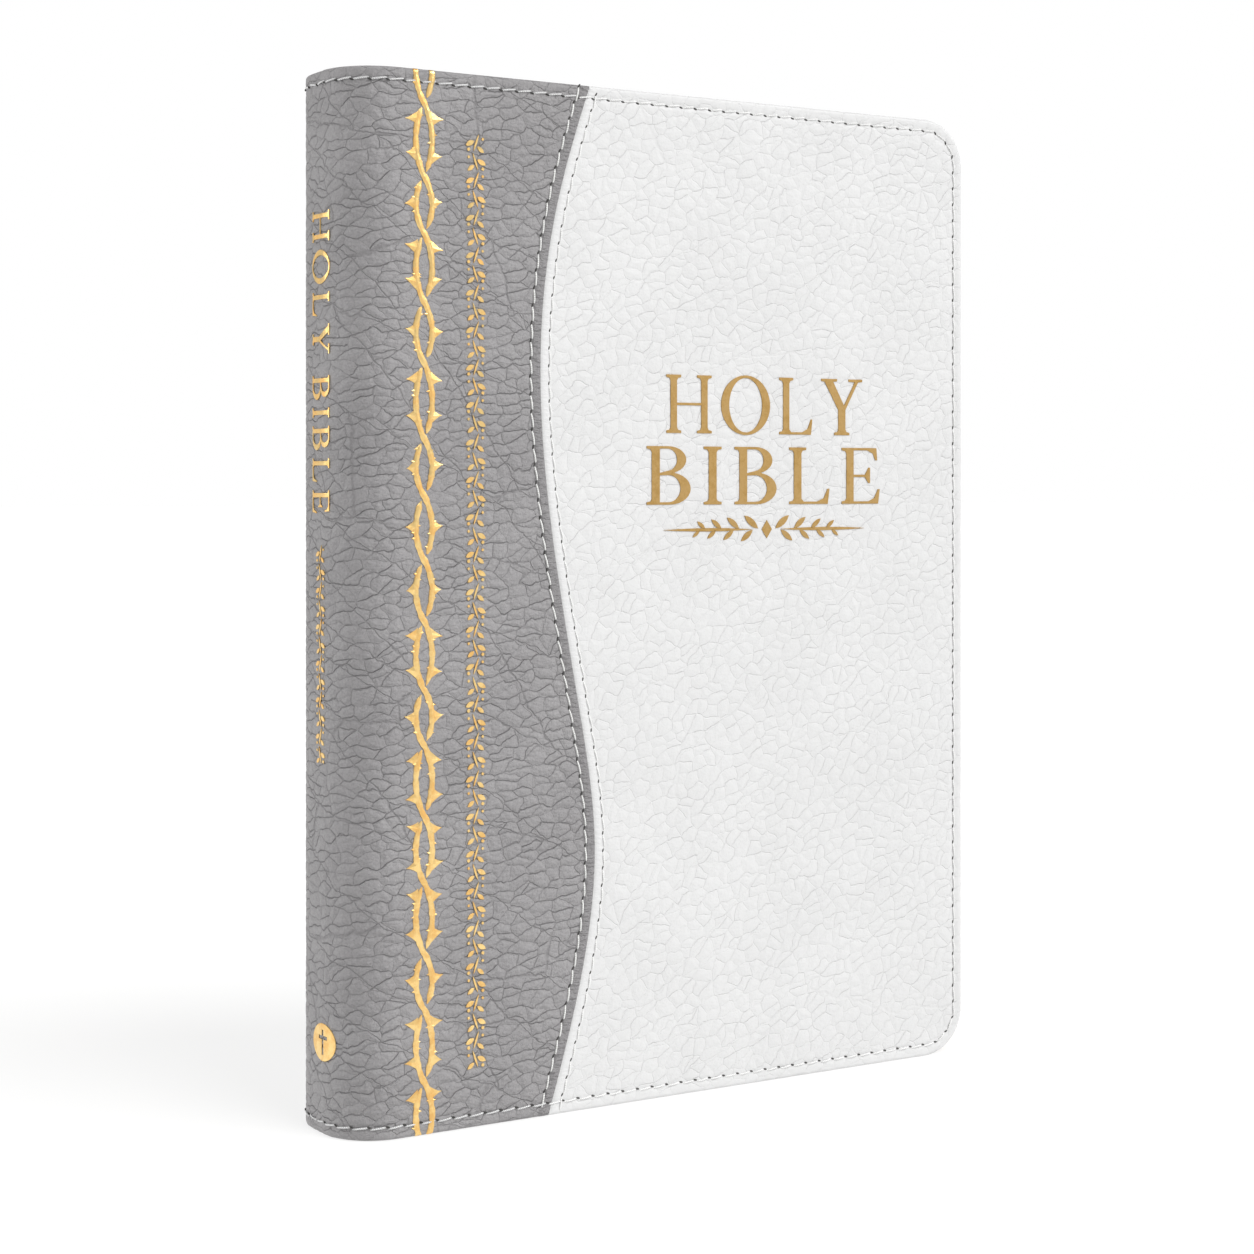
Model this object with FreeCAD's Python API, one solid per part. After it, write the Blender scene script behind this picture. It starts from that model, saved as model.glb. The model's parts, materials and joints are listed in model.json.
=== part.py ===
import FreeCAD, Part
import math
import os

# A bound bible with a two-tone imitation leather case, in millimetres.
# It stands on its tail edge: +Z runs from tail to head, +X from spine to fore-edge,
# and the front cover faces -Y. The origin is under the middle of the closed book.

Vector = FreeCAD.Vector

# ---- overall sizes
cover_height = 204.0
cover_width = 149.0
book_thickness = 27.0
spine_radius = 11.0
corner_radius = 10.0

# ---- case materials
leather = 0.8
board = 1.0
turn_in = 0.5
turn_in_width = 14.0
spine_card = 0.6
hinge_cloth = 0.3
paper = 0.12
rim_radius = 0.7

# ---- case joint
fold_angle = 45.0
body_gap = 0.1
board_setback = 0.5
leaf_setback = 1.6

# ---- page block
section_count = 16
square_head = 3.0
square_fore = 4.0
page_corner_radius = 8.0
leaf_gap = 0.1
section_gap = 0.04
back_hollow = 1.34
least_back_sag = 0.3
fold_radius = 0.25
fold_taper = 10.0
fold_clearance = 0.3
lining_setback = 1.8
sewing_stations = 5
sewing_margin = 16.0
thread_radius = 0.18
mull = 0.2
mull_margin = 12.0
band_radius = 0.8
band_tape = 12.0

# ---- stitching and foil
stitch_inset = 2.4
stitch_width = 0.45
stitch_height = 0.25
stitch_fold_gap = 0.7
seam_stitch_offset = 2.1
foil = 0.08
vine_x = 16.3
vine_pitch = 12.0
vine_half_width = 2.1
vine_strand = 1.4
thorn = 1.5
verse_x = 27.5
verse_height = 3.8
verse_margin = 12.0
title_height = 11.5
title_spacing = 14.3
title_centre_z = 133.0
spine_letter = 5.6
spine_title_z = 147.0
spine_foil_y = -1.5
emblem_diameter = 7.2
emblem_z = 17.8

# ---- two-tone seam, as distances from the spine at shares of the height
seam_shape = ((43.8, 0.0), (51.9, 0.142), (54.4, 0.26), (51.2, 0.382),
              (45.2, 0.55), (42.2, 0.745), (46.5, 0.895), (53.3, 1.0))

# ---- places worked out from the sizes above
half = book_thickness / 2
flat_half = half - spine_radius
cover_stack = leather + board + turn_in
spine_stack = leather + spine_card + turn_in
joint_stack = leather + hinge_cloth + turn_in
joint_inner_radius = spine_radius - joint_stack
leaf_outer = half - cover_stack - paper - leaf_gap
block_half = leaf_outer - paper - leaf_gap
section_pitch = 2 * block_half / section_count
section_thickness = section_pitch - section_gap
first_fold_y = block_half - section_pitch / 2
fold_reach = joint_inner_radius - fold_radius - fold_clearance
first_fold_x = spine_radius - math.sqrt(fold_reach ** 2 - (first_fold_y - flat_half) ** 2)
thread_distance = 2 * fold_radius + thread_radius
mull_inner = thread_distance + thread_radius
lining_inner = mull_inner + mull
tape_inner = lining_inner + mull
back_sag = max(least_back_sag, first_fold_x - spine_stack - tape_inner - mull - back_hollow)
back_radius = (first_fold_y ** 2 + back_sag ** 2) / (2 * back_sag)
back_centre_x = first_fold_x + back_radius - back_sag
page_width = cover_width - square_fore - first_fold_x
page_low = square_head
page_high = cover_height - square_head
lining_half = first_fold_y - lining_setback
foil_margin = stitch_inset + stitch_width
shift_x = -(cover_width - stitch_height) / 2

os.makedirs("parts", exist_ok=True)


def save(name, shape):
    placed = shape.copy()
    placed.translate(Vector(shift_x, 0, 0))
    placed.exportStep("parts/" + name + ".step")
    print(name, len(placed.Solids), round(placed.Volume, 2), placed.isValid())


def mirrored(shape):
    return shape.mirror(Vector(0, 0, 0), Vector(0, 1, 0))


def box(x0, y0, z0, x1, y1, z1):
    return Part.makeBox(x1 - x0, y1 - y0, z1 - z0, Vector(x0, y0, z0))


# ---- rounded spine profile: angle 0 is the flat of the spine, 90 is the cover's plane
def spine_point(radius, angle, side):
    turn = math.radians(angle)
    x = spine_radius - radius * math.cos(turn)
    y = side * (flat_half + radius * math.sin(turn))
    return Vector(x, y, 0)


def spine_arc(radius, start, end, side):
    middle = spine_point(radius, (start + end) / 2, side)
    arc = Part.Arc(spine_point(radius, start, side), middle, spine_point(radius, end, side))
    return arc.toShape()


def line(a, b):
    return Part.LineSegment(a, b).toShape()


def joint_face(outer, inner, start, end):
    edges = [spine_arc(outer, start, end, -1),
             line(spine_point(outer, end, -1), spine_point(inner, end, -1)),
             spine_arc(inner, end, start, -1),
             line(spine_point(inner, start, -1), spine_point(outer, start, -1))]
    return Part.Face(Part.Wire(edges))


def spine_face(outer, inner, end):
    edges = [spine_arc(outer, end, 0, -1),
             line(spine_point(outer, 0, -1), spine_point(outer, 0, 1)),
             spine_arc(outer, 0, end, 1),
             line(spine_point(outer, end, 1), spine_point(inner, end, 1)),
             spine_arc(inner, end, 0, 1),
             line(spine_point(inner, 0, 1), spine_point(inner, 0, -1)),
             spine_arc(inner, 0, end, -1),
             line(spine_point(inner, end, -1), spine_point(outer, end, -1))]
    return Part.Face(Part.Wire(edges))


def raised(face, low, high):
    solid = face.extrude(Vector(0, 0, high - low))
    solid.translate(Vector(0, 0, low))
    return solid


def rounded_rims(solid):
    edges = [edge for edge in solid.Edges
             if edge.BoundBox.ZLength < 1e-6
             and min(edge.BoundBox.ZMin, cover_height - edge.BoundBox.ZMin) < 1e-6
             and edge.Length > 2 * spine_stack]
    return solid.makeFillet(rim_radius, edges)


def wrapped_skin(profile, core_depth, stack):
    outer = spine_radius
    skin = rounded_rims(raised(profile(outer, outer - stack), 0, cover_height))
    core = profile(outer - leather, outer - leather - core_depth)
    window = profile(outer - leather - core_depth, outer - stack - 0.01)
    skin = skin.cut(raised(core, leather, cover_height - leather))
    return skin.cut(raised(window, turn_in_width, cover_height - turn_in_width))


# ---- covers
def cover_outline(inset, start):
    radius = max(corner_radius - inset, 1.0)
    end = cover_width - inset
    low = inset
    high = cover_height - inset
    slope = radius * math.sin(math.radians(45))
    corner_low = Part.Arc(Vector(end - radius, 0, low),
                          Vector(end - radius + slope, 0, low + radius - slope),
                          Vector(end, 0, low + radius)).toShape()
    corner_high = Part.Arc(Vector(end, 0, high - radius),
                           Vector(end - radius + slope, 0, high - radius + slope),
                           Vector(end - radius, 0, high)).toShape()
    edges = [line(Vector(start, 0, low), Vector(end - radius, 0, low)),
             corner_low,
             line(Vector(end, 0, low + radius), Vector(end, 0, high - radius)),
             corner_high,
             line(Vector(end - radius, 0, high), Vector(start, 0, high)),
             line(Vector(start, 0, high), Vector(start, 0, low))]
    return Part.Face(Part.Wire(edges))


def plate(face, depth_from_outside, thickness):
    solid = face.extrude(Vector(0, thickness, 0))
    solid.translate(Vector(0, -half + depth_from_outside, 0))
    return solid


def seam_curve(offset):
    points = [Vector(x, 0, share * cover_height) for x, share in seam_shape]
    curve = Part.BSplineCurve()
    curve.interpolate(points)
    if offset == 0:
        return curve
    shifted = []
    steps = 2 * len(seam_shape)
    for step in range(steps + 1):
        place = curve.FirstParameter + (curve.LastParameter - curve.FirstParameter) * step / steps
        along = curve.tangent(place)[0]
        shifted.append(curve.value(place) + Vector(along.z, 0, -along.x) * offset)
    beside = Part.BSplineCurve()
    beside.interpolate(shifted)
    return beside


def seam_face(left_offset, right_offset):
    left = seam_curve(left_offset)
    right = seam_curve(right_offset)
    edges = [left.toShape(),
             line(left.EndPoint, right.EndPoint),
             right.toShape(),
             line(right.StartPoint, left.StartPoint)]
    return Part.Face(Part.Wire(Part.sortEdges(edges)[0]))


def spine_side_of_seam():
    curve = seam_curve(0)
    low = Vector(0, 0, curve.StartPoint.z)
    high = Vector(0, 0, curve.EndPoint.z)
    edges = [curve.toShape(), line(curve.EndPoint, high), line(high, low), line(low, curve.StartPoint)]
    return plate(Part.Face(Part.Wire(edges)), 0, cover_stack)


def cover_skin():
    start = spine_radius + body_gap / 2
    slab = plate(cover_outline(0, start), 0, cover_stack)
    rims = [edge for edge in slab.Edges
            if edge.BoundBox.YLength < 1e-6 and edge.BoundBox.XMax > start + 1e-6]
    slab = slab.makeFillet(rim_radius, rims)
    cavity = plate(cover_outline(leather, start - 1), leather, board)
    window = box(start - 1, -half + leather + board - 0.01, turn_in_width,
                 cover_width - turn_in_width, -half + cover_stack + 1, cover_height - turn_in_width)
    return slab.cut(cavity).cut(window)


def edge_stitches():
    start = spine_radius + stitch_fold_gap
    outer = cover_outline(stitch_inset - stitch_width / 2, start)
    inner = cover_outline(stitch_inset + stitch_width / 2, start - 1)
    return plate(outer.cut(inner), -stitch_height, stitch_height)


def seam_stitches(offset):
    row = seam_face(offset - stitch_width / 2, offset + stitch_width / 2)
    row = plate(row, -stitch_height, stitch_height)
    return row.common(box(0, -book_thickness, foil_margin, cover_width, 0, cover_height - foil_margin))


def arc_stitches(face):
    rows = []
    for height in (stitch_inset, cover_height - stitch_inset):
        rows.append(raised(face, height - stitch_width / 2, height + stitch_width / 2))
    return Part.makeCompound(rows)


# ---- foil stamping on the front cover
def lens_face(x, low, high, bulge):
    middle = (low + high) / 2
    right = Part.Arc(Vector(x, 0, low), Vector(x + bulge, 0, middle), Vector(x, 0, high)).toShape()
    left = Part.Arc(Vector(x, 0, high), Vector(x - bulge, 0, middle), Vector(x, 0, low)).toShape()
    return Part.Face(Part.Wire([right, left]))


def thorn_face(x, z, side):
    reach = side * (vine_half_width + thorn)
    root = side * (vine_half_width - vine_strand / 2)
    corners = [Vector(x + root, 0, z - thorn), Vector(x + reach, 0, z), Vector(x + root, 0, z + thorn)]
    return Part.Face(Part.makePolygon(corners + corners[:1]))


def vine_foil():
    low = foil_margin
    height = cover_height - 2 * foil_margin
    cells = round(height / vine_pitch)
    cell = height / cells
    pieces = []
    for index in range(cells):
        start = low + index * cell
        outer = lens_face(vine_x, start, start + cell, vine_half_width + vine_strand / 2)
        inner = lens_face(vine_x, start + vine_strand, start + cell - vine_strand,
                          vine_half_width - vine_strand / 2)
        pieces.append(plate(outer.cut(inner), -foil, foil))
        for side in (-1, 1):
            pieces.append(plate(thorn_face(vine_x, start + cell * (0.5 + 0.1 * side), side), -foil, foil))
        if index:
            pieces.append(box(vine_x - vine_strand / 2, -half - foil, start - vine_strand / 2,
                              vine_x + vine_strand / 2, -half, start + vine_strand / 2))
    return pieces[0].multiFuse(pieces[1:]).removeSplitter()


def verse_ornament():
    low = verse_margin
    room = cover_height - 2 * verse_margin
    count = round(room / verse_height)
    pitch = room / count
    leaves = []
    for index in range(count):
        start = low + index * pitch
        leaves.append(plate(lens_face(verse_x, start + pitch * 0.1, start + pitch * 0.9,
                                      verse_height / 4), -foil, foil))
    return Part.makeCompound(leaves)


# ---- plain serif capitals in the XZ plane, one solid for each letter
def bar(x0, z0, x1, z1, depth):
    return box(x0, 0, z0, x1, depth, z1)


def bowl(x, z, radius, stroke, depth):
    outer = Part.makeCylinder(radius, depth, Vector(x, 0, z), Vector(0, 1, 0))
    inner = Part.makeCylinder(radius - stroke, depth, Vector(x, 0, z), Vector(0, 1, 0))
    half_ring = box(x, 0, z - radius, x + radius, depth, z + radius)
    return outer.cut(inner).common(half_ring)


def slanted(x0, z0, x1, z1, width, depth):
    corners = [Vector(x0 - width / 2, 0, z0), Vector(x0 + width / 2, 0, z0),
               Vector(x1 + width / 2, 0, z1), Vector(x1 - width / 2, 0, z1)]
    return Part.Face(Part.makePolygon(corners + corners[:1])).extrude(Vector(0, depth, 0))


def letter(name, size, depth):
    stem = 0.13 * size
    thin = 0.07 * size
    serif = 0.13 * size
    width = {"H": 0.78, "O": 0.86, "L": 0.62, "Y": 0.72, "B": 0.6, "I": 0.13, "E": 0.6}[name] * size
    pieces = []
    stems = {"H": (0, width - stem), "Y": (width / 2 - stem / 2,), "O": ()}.get(name, (0,))
    for x in stems:
        top = size * 0.5 if name == "Y" else size
        pieces.append(bar(x, 0, x + stem, top, depth))
        pieces.append(bar(x - serif, 0, x + stem + serif, thin, depth))
        if name != "Y":
            pieces.append(bar(x - serif, size - thin, x + stem + serif, size, depth))
    if name == "H":
        pieces.append(bar(0, size * 0.48, width, size * 0.48 + thin, depth))
    if name == "O":
        ring = Part.makeCylinder(size / 2, depth, Vector(size / 2, 0, size / 2), Vector(0, 1, 0))
        hole = Part.makeCylinder(size / 2 - stem, depth, Vector(size / 2, 0, size / 2), Vector(0, 1, 0))
        pieces.append(ring.cut(hole))
    if name in "LE":
        pieces.append(bar(0, 0, width, thin, depth))
        pieces.append(bar(width - thin, 0, width, 0.2 * size, depth))
    if name == "E":
        pieces.append(bar(0, size - thin, width, size, depth))
        pieces.append(bar(width - thin, 0.8 * size, width, size, depth))
        pieces.append(bar(0, size * 0.48, width * 0.7, size * 0.48 + thin, depth))
    if name == "Y":
        pieces.append(slanted(width / 2, size * 0.42, stem / 2, size, stem, depth))
        pieces.append(slanted(width / 2, size * 0.42, width - stem / 2, size, stem, depth))
    if name == "B":
        lower = 0.275 * size
        upper = size / 2 + thin / 2 - lower
        pieces.append(bowl(0.28 * size, lower, lower, thin, depth))
        pieces.append(bowl(0.28 * size, size - upper, upper, thin, depth))
        for z in (0, 2 * lower - thin, size - thin):
            pieces.append(bar(0, z, 0.29 * size, z + thin, depth))
    shape = pieces[0] if len(pieces) == 1 else pieces[0].multiFuse(pieces[1:])
    return shape.removeSplitter(), width


def word(text, size, depth):
    gap = 0.38 * size
    letters = []
    x = 0
    for name in text:
        shape, width = letter(name, size, depth)
        shape.translate(Vector(x, 0, 0))
        letters.append(shape)
        x += width + gap
    line_of_letters = Part.makeCompound(letters)
    line_of_letters.translate(Vector(-(x - gap) / 2, 0, -size / 2))
    return line_of_letters


def title_foil():
    centre_x = (seam_shape[0][0] + cover_width) / 2
    pieces = []
    for text, row in (("HOLY", 0.5), ("BIBLE", -0.5)):
        words = word(text, title_height, foil)
        words.translate(Vector(centre_x, -half - foil, title_centre_z + row * title_spacing))
        pieces.append(words)
    rule = plate(lens_face(0, -2 * title_height, 2 * title_height, title_height / 14), -foil, foil)
    rule.rotate(Vector(0, 0, 0), Vector(0, 1, 0), 90)
    rule.translate(Vector(centre_x, 0, title_centre_z - 1.3 * title_spacing))
    pieces.append(rule)
    return Part.makeCompound([solid for piece in pieces for solid in piece.Solids])


# ---- foil stamping on the spine, bent round its curve
def on_spine(flat_solids):
    shell = raised(spine_face(spine_radius + foil, spine_radius, fold_angle - 2), foil_margin,
                   cover_height - foil_margin)
    found = []
    for solid in flat_solids:
        found.extend(shell.common(solid).Solids)
    return Part.makeCompound(found)


def spine_title():
    words = word("HOLYBIBLE", spine_letter, spine_radius)
    words.rotate(Vector(0, 0, 0), Vector(0, 1, 0), 90)
    words.rotate(Vector(0, 0, 0), Vector(0, 0, 1), -90)
    words.translate(Vector(-foil, spine_foil_y, spine_title_z))
    return on_spine(words.Solids)


def spine_emblem():
    disc = Part.makeCylinder(emblem_diameter / 2, spine_radius, Vector(-foil, spine_foil_y, emblem_z),
                             Vector(1, 0, 0))
    arm = emblem_diameter * 0.08
    reach = emblem_diameter * 0.33
    upright = box(-1, spine_foil_y - arm, emblem_z - reach, spine_radius, spine_foil_y + arm, emblem_z + reach)
    across = box(-1, spine_foil_y - reach * 0.65, emblem_z + reach * 0.2,
                 spine_radius, spine_foil_y + reach * 0.65, emblem_z + reach * 0.2 + 2 * arm)
    return on_spine([disc.cut(upright).cut(across)])


# ---- page block: sewn sections hinged at their folds on a gently rounded back
def fold_x(y):
    return back_centre_x - math.sqrt(back_radius ** 2 - y ** 2)


def page_section(index):
    y = -block_half + section_pitch * (index + 0.5)
    x = fold_x(y)
    end = page_width
    full = section_thickness / 2
    span = math.hypot(fold_taper, full)
    slope = math.atan2(full, fold_taper) - math.asin(fold_radius / span)
    upper = Vector(-fold_radius * math.sin(slope), fold_radius * math.cos(slope), 0)
    lower = Vector(upper.x, -upper.y, 0)
    fold = Part.Arc(upper, Vector(-fold_radius, 0, 0), lower).toShape()
    corners = [lower, Vector(fold_taper, -full, 0), Vector(end, -full, 0),
               Vector(end, full, 0), Vector(fold_taper, full, 0), upper]
    sides = [line(a, b) for a, b in zip(corners, corners[1:])]
    solid = Part.Face(Part.Wire([fold] + sides)).extrude(Vector(0, 0, page_high - page_low))
    tips = [edge for edge in solid.Edges
            if edge.BoundBox.XMin > end - 1e-6 and edge.BoundBox.ZLength < 1e-6]
    solid = solid.makeFillet(page_corner_radius, tips)
    solid.translate(Vector(x, y, page_low))
    return solid


def flyleaf():
    end = first_fold_x + page_width
    start = spine_radius + leaf_setback
    solid = box(start, -leaf_outer, page_low, end, -leaf_outer + paper, page_high)
    tips = [edge for edge in solid.Edges
            if edge.BoundBox.XMin > end - 1e-6 and edge.BoundBox.ZLength < 1e-6]
    return solid.makeFillet(page_corner_radius, tips)


def pastedown():
    start = spine_radius + leaf_setback - leaf_gap
    face = cover_outline(square_head, start)
    return plate(face, cover_stack, paper)


def back_arc(profile, half_width):
    reach = math.degrees(math.asin(half_width / back_radius))
    axis = Vector(back_centre_x, 0, 0)
    profile.rotate(axis, Vector(0, 0, 1), -reach)
    return profile.revolve(axis, Vector(0, 0, 1), 2 * reach)


def back_strip(inner, outer, low, high, half_width):
    near = back_centre_x - back_radius - inner
    far = back_centre_x - back_radius - outer
    corners = [Vector(near, 0, low), Vector(far, 0, low), Vector(far, 0, high), Vector(near, 0, high)]
    return back_arc(Part.Face(Part.makePolygon(corners + corners[:1])), half_width)


def back_cord(distance, radius, z, half_width):
    centre = Vector(back_centre_x - back_radius - distance, 0, z)
    circle = Part.Circle(centre, Vector(0, 1, 0), radius).toShape()
    return back_arc(Part.Face(Part.Wire([circle])), half_width)


def sewing_threads():
    cords = []
    low = page_low + sewing_margin
    pitch = (page_high - page_low - 2 * sewing_margin) / (sewing_stations - 1)
    for station in range(sewing_stations):
        cords.append(back_cord(thread_distance, thread_radius, low + station * pitch, lining_half))
    return Part.makeCompound(cords)


def end_band(at_head):
    if at_head:
        bead_z = page_high + band_radius + leaf_gap
        low = page_high - band_tape
        high = bead_z
    else:
        bead_z = page_low - band_radius - leaf_gap
        low = bead_z
        high = page_low + band_tape
    bead = back_cord(tape_inner + mull / 2 - band_radius, band_radius, bead_z, lining_half)
    tape = back_strip(tape_inner, tape_inner + mull, low, high, lining_half)
    return bead.fuse(tape).removeSplitter()


# ---- spine
spine_end = fold_angle - math.degrees(body_gap / 2 / spine_radius)
joint_start = fold_angle + math.degrees(body_gap / 2 / spine_radius)
joint_end = 90 - math.degrees(body_gap / 2 / spine_radius)


stitch_gap_angle = math.degrees(stitch_fold_gap / spine_radius)
stitch_radius = spine_radius + stitch_height


def spine_profile(outer, inner):
    return spine_face(outer, inner, spine_end)


def joint_profile(outer, inner):
    return joint_face(outer, inner, joint_start, joint_end)


save("spine_skin", wrapped_skin(spine_profile, spine_card, spine_stack))
save("spine_inlay", raised(spine_profile(spine_radius - leather, spine_radius - leather - spine_card),
                           leather, cover_height - leather))
save("spine_edge_stitches", arc_stitches(spine_face(stitch_radius, spine_radius,
                                                    fold_angle - stitch_gap_angle)))
save("spine_title_foil", spine_title())
save("spine_emblem_foil", spine_emblem())
save("sewing_threads", sewing_threads())
save("spine_mull", back_strip(mull_inner, lining_inner, page_low + mull_margin,
                              page_high - mull_margin, lining_half))
save("spine_lining_paper", back_strip(lining_inner, tape_inner, page_low, page_high, lining_half))
save("headband", end_band(True))
save("tailband", end_band(False))

# ---- covers and their leather joints, front then mirrored to the back
joint_skin = wrapped_skin(joint_profile, hinge_cloth, joint_stack)
joint_cloth = raised(joint_profile(spine_radius - leather, spine_radius - leather - hinge_cloth),
                     leather, cover_height - leather)
skin = cover_skin()
seam_side = spine_side_of_seam()
case_pieces = {
    "joint_skin": joint_skin,
    "hinge_cloth": joint_cloth,
    "joint_stitches": arc_stitches(joint_face(stitch_radius, spine_radius, fold_angle + stitch_gap_angle,
                                              90 - stitch_gap_angle)),
    "board": plate(cover_outline(leather, spine_radius + board_setback), leather, board),
    "grey_panel": skin.common(seam_side),
    "white_panel": skin.cut(seam_side),
    "infill": box(spine_radius + board_setback, -half + leather + board, turn_in_width,
                  cover_width - turn_in_width, -half + cover_stack, cover_height - turn_in_width),
    "pastedown": pastedown(),
    "edge_stitches": edge_stitches(),
    "seam_stitches_grey": seam_stitches(-seam_stitch_offset),
    "seam_stitches_white": seam_stitches(seam_stitch_offset),
    "flyleaf": flyleaf(),
}
for name, shape in case_pieces.items():
    save("front_" + name, shape)
    save("back_" + name, mirrored(shape))

# ---- foil on the front cover
save("front_vine_foil", vine_foil())
save("front_verse_ornament_foil", verse_ornament())
save("front_title_foil", title_foil())

# ---- pages
for index in range(section_count):
    save("page_section_%02d" % (index + 1), page_section(index))

# ---- joint axes, seen in the finished frame
fold_axis = spine_point(spine_radius, fold_angle, -1)
print("joint fold axis", round(fold_axis.x + shift_x, 4), round(fold_axis.y, 4))
print("cover fold axis", round(spine_radius + shift_x, 4), -half)
print("flyleaf axis", round(spine_radius + leaf_setback + shift_x, 4), round(-leaf_outer + paper / 2, 4))
for index in range(section_count):
    y = -block_half + section_pitch * (index + 0.5)
    print("section", index + 1, "axis", round(fold_x(y) + shift_x, 4), round(y, 4))
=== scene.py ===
import bmesh
import bpy
import json
import math
import numpy as np
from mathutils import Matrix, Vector


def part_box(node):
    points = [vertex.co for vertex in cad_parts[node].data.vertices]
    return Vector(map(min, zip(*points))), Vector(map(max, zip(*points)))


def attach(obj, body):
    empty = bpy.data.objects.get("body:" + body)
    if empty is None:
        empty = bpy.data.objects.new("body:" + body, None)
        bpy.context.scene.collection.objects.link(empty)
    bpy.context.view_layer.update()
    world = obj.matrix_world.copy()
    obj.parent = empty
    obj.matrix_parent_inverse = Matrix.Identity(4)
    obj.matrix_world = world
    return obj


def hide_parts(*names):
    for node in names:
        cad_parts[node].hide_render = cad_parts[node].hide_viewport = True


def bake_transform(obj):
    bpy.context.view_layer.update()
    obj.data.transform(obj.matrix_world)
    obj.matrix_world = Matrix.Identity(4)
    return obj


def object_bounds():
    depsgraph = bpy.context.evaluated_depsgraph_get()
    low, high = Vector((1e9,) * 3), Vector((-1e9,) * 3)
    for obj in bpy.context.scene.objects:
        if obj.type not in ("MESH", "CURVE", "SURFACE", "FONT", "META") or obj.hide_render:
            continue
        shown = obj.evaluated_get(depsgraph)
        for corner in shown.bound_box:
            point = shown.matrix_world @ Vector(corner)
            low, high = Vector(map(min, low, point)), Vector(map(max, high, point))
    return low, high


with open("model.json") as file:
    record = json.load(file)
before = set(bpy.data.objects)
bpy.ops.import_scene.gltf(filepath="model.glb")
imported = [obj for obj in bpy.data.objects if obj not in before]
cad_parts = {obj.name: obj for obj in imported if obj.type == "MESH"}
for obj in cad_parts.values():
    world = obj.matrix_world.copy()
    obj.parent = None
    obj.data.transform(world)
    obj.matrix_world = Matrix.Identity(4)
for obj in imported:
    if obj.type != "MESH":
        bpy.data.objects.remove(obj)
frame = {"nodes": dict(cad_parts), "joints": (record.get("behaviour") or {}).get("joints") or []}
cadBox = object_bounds()
mm = 0.001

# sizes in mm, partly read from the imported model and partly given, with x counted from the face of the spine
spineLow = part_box("spine_skin")[0]
panelLow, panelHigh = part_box("front_white_panel")
foldJoints = {joint["name"]: joint for joint in frame["joints"]}
book = {
    "spineX": spineLow.x / mm,
    "half": -panelLow.y / mm,
    "width": (panelHigh.x - spineLow.x) / mm,
    "height": panelHigh.z / mm,
    "cornerRadius": 10.0,
    "rim": 0.7,
    "coverThickness": 2.3,
    "spineThickness": 1.9,
    "jointThickness": 1.6,
}
book["radius"] = foldJoints["front_cover_open"]["pos_m"][0] / mm - book["spineX"]
book["flat"] = book["half"] - book["radius"]
quarterTurn = book["radius"] * math.pi / 2
coverStart = book["flat"] + quarterTurn          # distance round the case where the cover goes flat
jointMiddle = book["flat"] + quarterTurn * 0.75

seamPoints = [(43.8, 0.0), (51.9, 0.142), (54.5, 0.262), (51.3, 0.382),
              (45.1, 0.55), (42.1, 0.745), (46.7, 0.898), (53.4, 1.0)]


def say(stage):
    print("bible:", stage, flush=True)


def smoothStep(value, low, high):
    t = np.clip((np.asarray(value, float) - low) / (high - low), 0, 1)
    return t * t * (3 - 2 * t)


def seamSpline():
    # natural cubic through the seam's points, x as a function of height
    heights = np.array([share * book["height"] for x, share in seamPoints])
    xs = np.array([x for x, share in seamPoints])
    gaps = np.diff(heights)
    count = len(xs)
    system = np.eye(count)
    right = np.zeros(count)
    for i in range(1, count - 1):
        system[i, i - 1:i + 2] = gaps[i - 1], 2 * (gaps[i - 1] + gaps[i]), gaps[i]
        right[i] = 6 * ((xs[i + 1] - xs[i]) / gaps[i] - (xs[i] - xs[i - 1]) / gaps[i - 1])
    bend = np.linalg.solve(system, right)

    def seamX(z):
        z = np.clip(np.asarray(z, float), 0, book["height"])
        i = np.clip(np.searchsorted(heights, z) - 1, 0, count - 2)
        a = (heights[i + 1] - z) / gaps[i]
        b = (z - heights[i]) / gaps[i]
        return (a * xs[i] + b * xs[i + 1]
                + ((a ** 3 - a) * bend[i] + (b ** 3 - b) * bend[i + 1]) * gaps[i] ** 2 / 6)
    return seamX


seamX = seamSpline()


def seamSlope(z):
    return seamX(np.asarray(z) + 0.5) - seamX(np.asarray(z) - 0.5)


def roundCase(s, depth, side):
    # s is the distance round the case from the middle of the spine; depth goes into the book
    s, depth = np.broadcast_arrays(np.asarray(s, float), np.asarray(depth, float))
    turn = np.clip((s - book["flat"]) / book["radius"], 0, math.pi / 2)
    straight = np.maximum(s - coverStart, 0)
    x = book["radius"] * (1 - np.cos(turn)) + straight + depth * np.cos(turn)
    y = -(np.minimum(s, book["flat"]) + book["radius"] * np.sin(turn)) + depth * np.sin(turn)
    return x + book["spineX"], -side * y


def outward(s, side):
    turn = np.clip((np.asarray(s, float) - book["flat"]) / book["radius"], 0, math.pi / 2)
    return -np.cos(turn), side * np.sin(turn)


def edgeDrop(edge):
    # how far the rounded rim falls away at a distance in from the edge
    r = book["rim"]
    return r - np.sqrt(np.maximum(r ** 2 - (r - np.clip(edge, 0, r)) ** 2, 0))


def paint(hexColour):
    parts = [int(hexColour[i:i + 2], 16) / 255 for i in (1, 3, 5)]
    return tuple(c / 12.92 if c <= 0.04045 else ((c + 0.055) / 1.055) ** 2.4 for c in parts) + (1.0,)


def addNode(tree, kind, settings=None, links=None):
    # a link may be another node, one of its outputs, or a plain value
    node = tree.nodes.new(kind)
    for name, value in (settings or {}).items():
        setattr(node, name, value)
    for key, value in (links or {}).items():
        if isinstance(value, bpy.types.Node):
            value = value.outputs[0]
        if isinstance(value, bpy.types.NodeSocket):
            tree.links.new(value, node.inputs[key])
        else:
            node.inputs[key].default_value = value
    return node


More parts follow.
